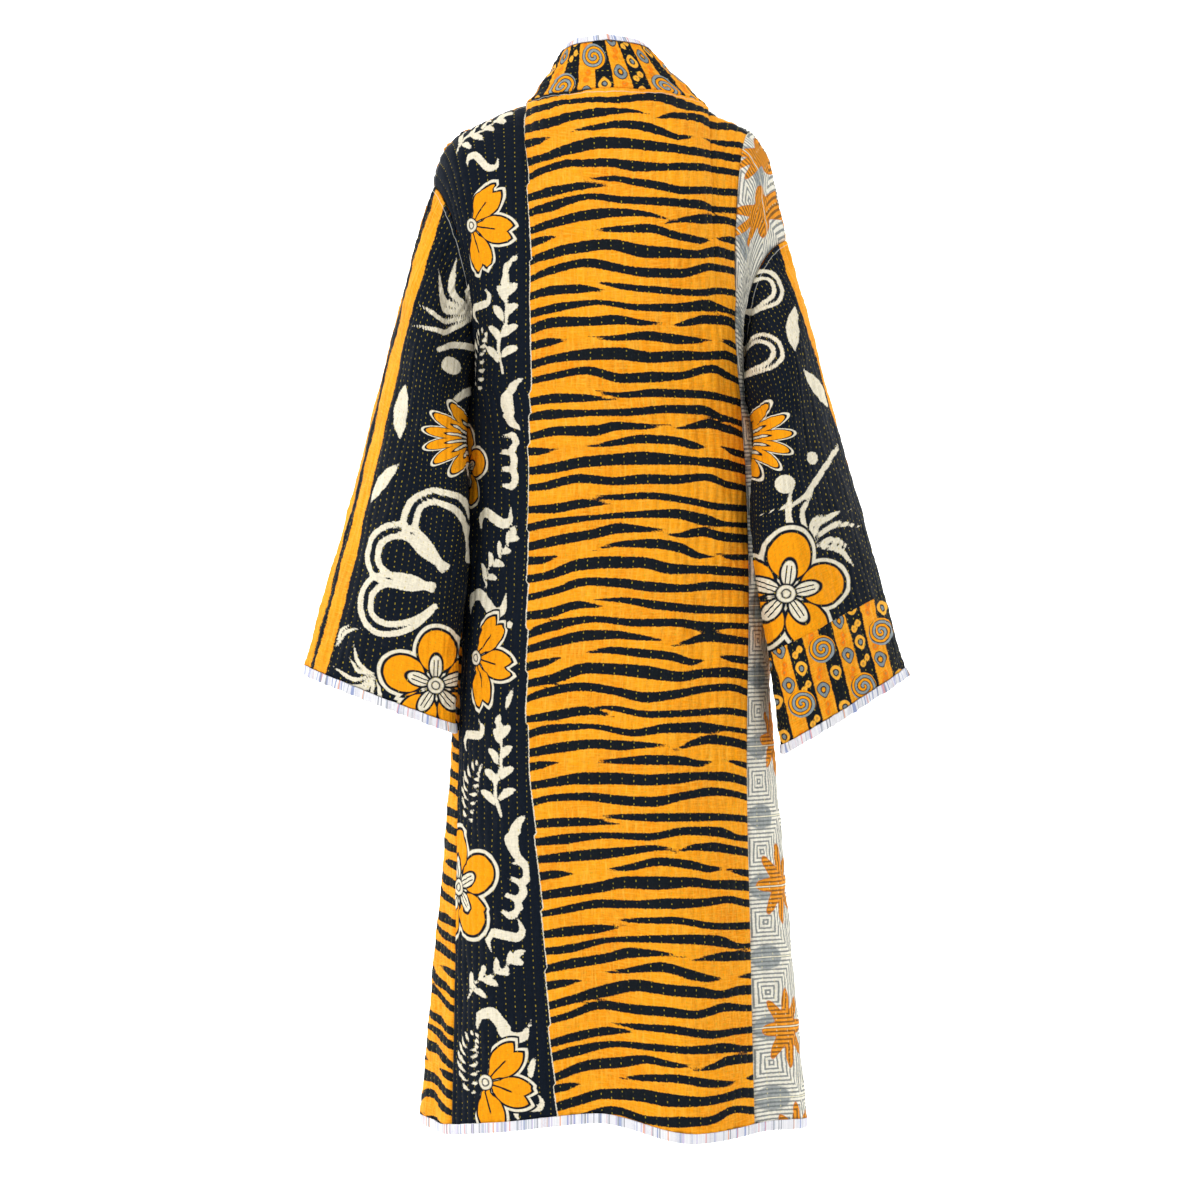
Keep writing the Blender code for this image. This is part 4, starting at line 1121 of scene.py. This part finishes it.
for side, name, rear, rear_normals, fore, fore_normals, table, folds, motifs in SLEEVES:
    points, normals = sleeve_points(side, rear, rear_normals, fore, fore_normals, table)
    across, down = sleeve_place(points, side)
    columns = points.shape[1]
    back_half = slice(columns // 2, None)
    fields = print_motifs(points, across, down, motifs, back_half, lean=SLEEVE_LEAN * side)
    lower = np.clip((down + 60) / 420, 0, 1)
    fields["edge"] = -side * across - 5 - 8 * lower if side > 0 else across + 3 + 24 * lower
    fields["seam"] = from_top_edge(points[::-1])[::-1]
    shape = quilted(points, normals, SLEEVE_ROWS, folds, seams=(False, False))
    shape[0] -= normals[0] * 0.0010
    shape = drawn_in(shape, FIRST_ROW)
    sleeve_map = cloth_map(points, SLEEVE_ROWS)
    end = len(points)
    if side < 0:
        end = len(HEAD_PARTS) + PIECING_PART + 1
    flat = (0.420, 0.590) if side > 0 else (0.420, 0.400)
    shown = {key: value[:end] for key, value in fields.items()}
    cloth_piece(name, shape[:end], normals[:end], sleeve_map[:end], shown, navy_cotton, flat,
                ["back_panel_cloth"], tube=True)
    cuffs[side] = (shape, normals, sleeve_map, across, down)

# Collar band: striped cotton that stands at the neck, lies down both fronts and ends at the hem.
# The lower right sleeve is pieced from the same cloth, with spiral rings and drops over stripes.
striped_cotton, tree, shader = new_material("block_printed_striped_cotton", 0.86)
bars = print_edge(tree, "bars")
whole = printed(tree, worn_gold(tree), BLACK, bars, -0.4, 0.4)
blob = printed(tree, "ee7f10", PALE_GOLD, bars, -0.2, 0.2)
drop = printed(tree, "7e898e", PALE_GOLD, bars, -0.2, 0.2)
core = printed(tree, GOLD, "7e898e", bars, -0.2, 0.2)
for name, soft, inks in (
    ("blobs", 0.1, ((1.0, blob), (0.45, "c58c3c"))),
    ("drops", 0.05, ((1.12, "1c242c"), (0.98, drop), (0.52, "1c242c"), (0.34, core))),
):
    apart = add_node(tree, "Attribute", attribute_name=name, output="Fac")
    for edge, ink in inks:
        whole = printed(tree, whole, ink, apart, edge + soft, edge - soft)
RING_RADIUS, RING_PITCH = 14.9, 7.0
angle, radius = round_a_centre(tree, "rings")
spiral = add_node(tree, "Math", angle, RING_PITCH / (2 * math.pi), radius, operation="MULTIPLY_ADD")
winding = add_node(tree, "Math", spiral, RING_PITCH, operation="ADD")
winding = add_node(tree, "Math", winding, RING_PITCH, operation="MODULO")
within = add_node(tree, "MapRange", radius, RING_RADIUS + 0.3, RING_RADIUS - 0.3)
whole = printed(tree, whole, "1c242c", within, 0.0, 1.0)
for middle, half, ink in ((1.7, 1.35, "8b979c"), (5.1, 1.25, GOLD)):
    whole = printed(tree, whole, ink, gap_between(tree, winding, middle), half + 0.2, half - 0.2, within)
hand_quilted(tree, shader, whole, rows_to_a_row=1.5)
BAR = 17.8  # width of one stripe
CYCLE = 39.0  # length in which each bar's drops repeat


def nearest_spot(along, over, centres, across_half, along_half, taper=0.0):
    """How far the nearest of these centres is, in its own half sizes."""
    nearest = np.full(along.shape, 9.0)
    for x0, y0 in centres:
        y = (over - y0) / along_half
        x = (along - x0) / across_half * (1 + taper * np.clip(y, -1, 1) + 0.35 * y**2)
        nearest = np.minimum(nearest, np.hypot(x, y))
    return nearest


def striped_fields(along, over, ring_places):
    """Bars of colour along the cloth, drops and blobs down the middle of each, and spiral rings."""
    bar = np.floor(along / BAR)
    inside = BAR / 2 - np.abs(along - (bar + 0.5) * BAR)
    bars = np.where(bar % 2 == 0, 1, -1) * inside
    big, small = [], []
    for index in range(int(bar.min()), int(bar.max()) + 1):
        for repeat in range(-1, 1 + int(over.max() / CYCLE)):
            x, y = (index + 0.5) * BAR, (repeat + 0.15 + 0.37 * (index % 3)) * CYCLE
            if all(math.hypot(x - ring_x, y - ring_y) > 21 for ring_x, ring_y in ring_places):
                big.append((x, y))
            if index % 2:
                small += [(x - 1, y + 0.42 * CYCLE), (x + 1.5, y + 0.62 * CYCLE)]
            elif index % 4:
                small += [(x - 3, y + 0.46 * CYCLE), (x + 3, y + 0.60 * CYCLE)]
    rings = np.full(along.shape + (3,), 99.0)
    for x0, y0 in ring_places:
        distance = np.hypot(along - x0, over - y0)
        near = distance < 20
        rings[near] = np.stack([along - x0, over - y0, distance], axis=-1)[near]
    return {
        "bars": bars,
        "drops": nearest_spot(along, over, big, 6.4, 8.4, taper=0.25),
        "blobs": nearest_spot(along, over, small, 3.4, 4.2),
        "rings": rings,
    }


end = len(HEAD_PARTS) + PIECING_PART
shape, normals, sleeve_map, across, down = (part[end:] for part in cuffs[-1])
over = down - down[0].min() - 10
CUFF_RINGS = [(BAR * (2 * k + 1), 30 + 52 * (k % 2)) for k in range(-6, 7)]
cuff_fields = striped_fields(across + 4, over, CUFF_RINGS)
cloth_piece("right_sleeve_cuff_piece", drawn_in(shape, FIRST_ROW), normals, sleeve_map, cuff_fields,
            striped_cotton, (0.340, 0.130), ["right_sleeve_cloth"], tube=True)

BAND_EDGE = 0.020
COLLAR_ROWS = 6
COLLAR_STITCH_ROWS = 9
COLLAR_EDGE = (
    # along (0 middle of the back, 1 shoulder, 2 underarm level), out, behind, above
    (0.00, 0.0000, 0.0460, 0.0560),
    (0.50, 0.0370, 0.0340, 0.0515),
    (1.00, 0.0530, 0.0030, 0.0390),
    (1.15, 0.0490, -0.0300, 0.0120),
    (1.35, 0.0390, -0.0640, -0.0450),
    (1.60, 0.0270, -0.0960, -0.1280),
    (1.80, 0.0220, -0.1130, -0.2150),
    (2.00, 0.0200, -0.1210, -0.3300),
)
seam_lines = (
    (right_points[:-1, -1], right_normals[:-1, -1]),
    (back_points[-1, neck_columns], back_normals[-1, neck_columns]),
    (left_points[:-1, -1][::-1], left_normals[:-1, -1][::-1]),
)
seam = np.vstack([line for line, _ in seam_lines])
rims = np.vstack([rim for _, rim in seam_lines])
smooth = np.arange(-9, 10)
weight = np.exp(-((smooth / 5) ** 2))
around = np.clip(np.arange(len(rims))[:, None] + smooth, 0, len(rims) - 1)
rims = unit((rims[around] * weight[:, None]).sum(axis=1))
skirt_count, yoke_count = len(SKIRT_LEVELS) - 1, len(YOKE_PARTS)
neck_count = len(seam) - 2 * (skirt_count + yoke_count)
up = np.concatenate([np.full(skirt_count, 2.0), np.linspace(2, 1, yoke_count + 1)[:-1]])
stations = np.concatenate([up, np.abs(np.linspace(-1, 1, neck_count)), up[::-1]])
sides = np.sign(np.linspace(-1, 1, len(stations)))
table = read_table(COLLAR_EDGE, stations)
free_edge = np.stack([sides * table[:, 0], table[:, 1], table[:, 2]], axis=-1)
levels = SKIRT_LEVELS[:-1]
free_edge[:skirt_count] = body_points(levels, -2 - place_of(levels, BAND_EDGE, -1))
free_edge[-skirt_count:] = body_points(levels, 2 - place_of(levels, BAND_EDGE, 1))[::-1]
leaves = unit(np.cross(np.gradient(seam, axis=0), rims))
reach = np.linalg.norm(free_edge - seam, axis=1)[:, None]
leaves = leaves * reach * (0.9 - 0.2 * np.clip((2 - stations) / 0.6, 0, 1)[:, None])
collar_parts = np.linspace(0, 1, 2 * COLLAR_ROWS * FINE + 1)[:, None, None]
collar_points = np.transpose(hermite(seam, leaves, free_edge, free_edge - seam, collar_parts), (1, 0, 2))
collar_normals = grid_normals(collar_points, (0, 1, 0.3))
collar_normals[:, 0] = rims
over = np.linalg.norm(collar_points - collar_points[:, :1], axis=-1) * 1000
run = lengths_along(collar_points[:, 2 * COLLAR_ROWS]) * 1000
neck_middle_station = skirt_count + yoke_count + neck_count // 2
along = np.repeat((run - run[neck_middle_station])[:, None], collar_points.shape[1], axis=1)
COLLAR_RINGS = [(0, 38), (-2 * BAR, 8), (4 * BAR, 8)]
COLLAR_RINGS += [(side * BAR * (6 + 4 * k), 40 - 30 * (k % 2)) for side in (1, -1) for k in range(17)]
collar_fields = striped_fields(21.3 - along, over, COLLAR_RINGS)
collar_shape = quilted(collar_points, collar_normals, COLLAR_STITCH_ROWS, (), seams=(True, False))
collar_shape = drawn_in(collar_shape, FIRST_COLUMN)
collar_map = np.stack([over, along], axis=-1) / ROW_SPACING
cloth_piece("collar_band", collar_shape, collar_normals, collar_map, collar_fields, striped_cotton,
            (0.062, 2.440), ["back_panel_cloth"])

# Bindings: narrow strips of white cotton with fine coloured stripes woven across them, folded
# over the free edges at the collar, cuffs and hem and sewn down.
white_binding, tree, shader = new_material("striped_white_cotton_binding", 0.84)
uv = add_node(tree, "UVMap", uv_map="cloth")
u = add_node(tree, "SeparateXYZ", uv, output="X")
colour = printed(tree, "e4e3ea", "cfd2de", add_node(tree, "TexNoise", uv, 0.6), 0.4, 0.7)
STRIPES = (
    # where it starts among a hundred threads, colour
    (0, "e6e6ec"),
    (40, "8e929e"),
    (48, "f0f0f3"),
    (57, "8b9ac6"),
    (64, "c9c0de"),
    (70, "dd9aa0"),
    (75, "e2e2e8"),
    (79, "e5a078"),
    (82, "b9c0cc"),
    (88, "eeeef2"),
)
threads = add_node(tree, "Math", u, 1 / 1.3, operation="MULTIPLY")
threads = add_node(tree, "Math", threads, operation="FLOOR")
choice = add_node(tree, "TexWhiteNoise", threads, noise_dimensions="1D", output="Value")
ramp = tree.nodes.new("ShaderNodeValToRGB")
ramp.color_ramp.interpolation = "CONSTANT"
tree.links.new(choice, ramp.inputs[0])
for index, (start, ink) in enumerate(STRIPES):
    element = ramp.color_ramp.elements[index] if index < 2 else ramp.color_ramp.elements.new(start / 100)
    element.position = start / 100
    element.color = linear(ink)
group = add_node(tree, "MapRange", cloth_noise(tree, (0.07, 0, 0), 1.0, 0.5), 0.40, 0.46, 0.15, 0.9)
colour = printed(tree, colour, ramp.outputs[0], group, 0.0, 1.0)
weave = cloth_noise(tree, (1.6, 0.5, 1), 3.0, 0.6)
ruck = cloth_noise(tree, (0.16, 0.06, 1), 2.0, 0.5)
height = add_node(tree, "Math", ruck, 2.0, weave, operation="MULTIPLY_ADD")
finish_cloth(tree, shader, colour, height, 0.2)


def binding(name, edge, outwards, normals, width, ring, flat, rests_on):
    """A folded strip gripping an edge of the cloth, swollen a little between its stitches."""
    run = lengths_along(edge) * 1000
    middle = edge - normals * (WALL - SWELL) / 2
    turn = np.linspace(0, math.pi, 7)
    profile = [(0.0, 1.0), (0.40, 1.06)]
    profile += [(0.82 + 0.18 * math.sin(angle), math.cos(angle)) for angle in turn]
    profile += [(0.40, -1.06), (0.0, -1.0)]
    puff = 1 + 0.10 * np.sin(run * 0.9)[:, None] + 0.06 * np.sin(run * 0.23 + 1)[:, None]
    rows = []
    for out, half in profile:
        rows.append(middle + outwards * (0.0002 + width * out) + normals * 0.0019 * half * puff)
    points = np.array(rows)
    if not ring:
        points[:, 0] = points[:, 0].mean(axis=0)
        points[:, -1] = points[:, -1].mean(axis=0)
    reach = np.array([out for out, _ in profile]) * width * 1000
    uv = np.stack(np.meshgrid(run, reach), axis=-1)
    facing = np.tile(normals, (len(profile), 1, 1))
    cloth_piece(name, points, facing, uv, {}, white_binding, flat, rests_on,
                made_of="_cotton", held="folded", tube=True, wall=0)


outwards = unit(collar_points[:, -1] - collar_points[:, -2])
binding("collar_binding", collar_points[:, -1], outwards, collar_normals[:, -1], 0.007, False,
        (0.016, 2.330), ["collar_band_cloth"])
for side, name, carrier in ((1, "left_cuff_binding", "left_sleeve_cloth"),
                            (-1, "right_cuff_binding", "right_sleeve_cuff_piece_cloth")):
    points, normals = cuffs[side][0], cuffs[side][1]
    binding(name, points[-1], unit(points[-1] - points[-2]), normals[-1], 0.011, True,
            (0.024, 0.440), [carrier])

hem_pieces = (
    (collar_points[0, ::-1], collar_normals[0, ::-1]),
    (right_points[0, ::-1], right_normals[0, ::-1]),
    (strip_points[0], strip_normals[0]),
    (back_points[0], back_normals[0]),
    (left_points[0], left_normals[0]),
    (collar_points[-1], collar_normals[-1]),
)
hem_edge = np.vstack([edge[:-1] for edge, _ in hem_pieces])
hem_normals = np.vstack([directions[:-1] for _, directions in hem_pieces])
overhang = outwards[[0, -1]] * 0.0073
corners = collar_points[[0, -1], -1]
hem_edge = np.vstack([corners[0] + overhang[0], hem_edge, corners[1] + overhang[1]])
hem_normals = np.vstack([collar_normals[0, -1], hem_normals, collar_normals[-1, -1]])
binding("hem_binding", hem_edge, np.array((0.0, 0.0, -1.0)), hem_normals, 0.011, False,
        (0.024, 1.240), ["back_panel_cloth"])
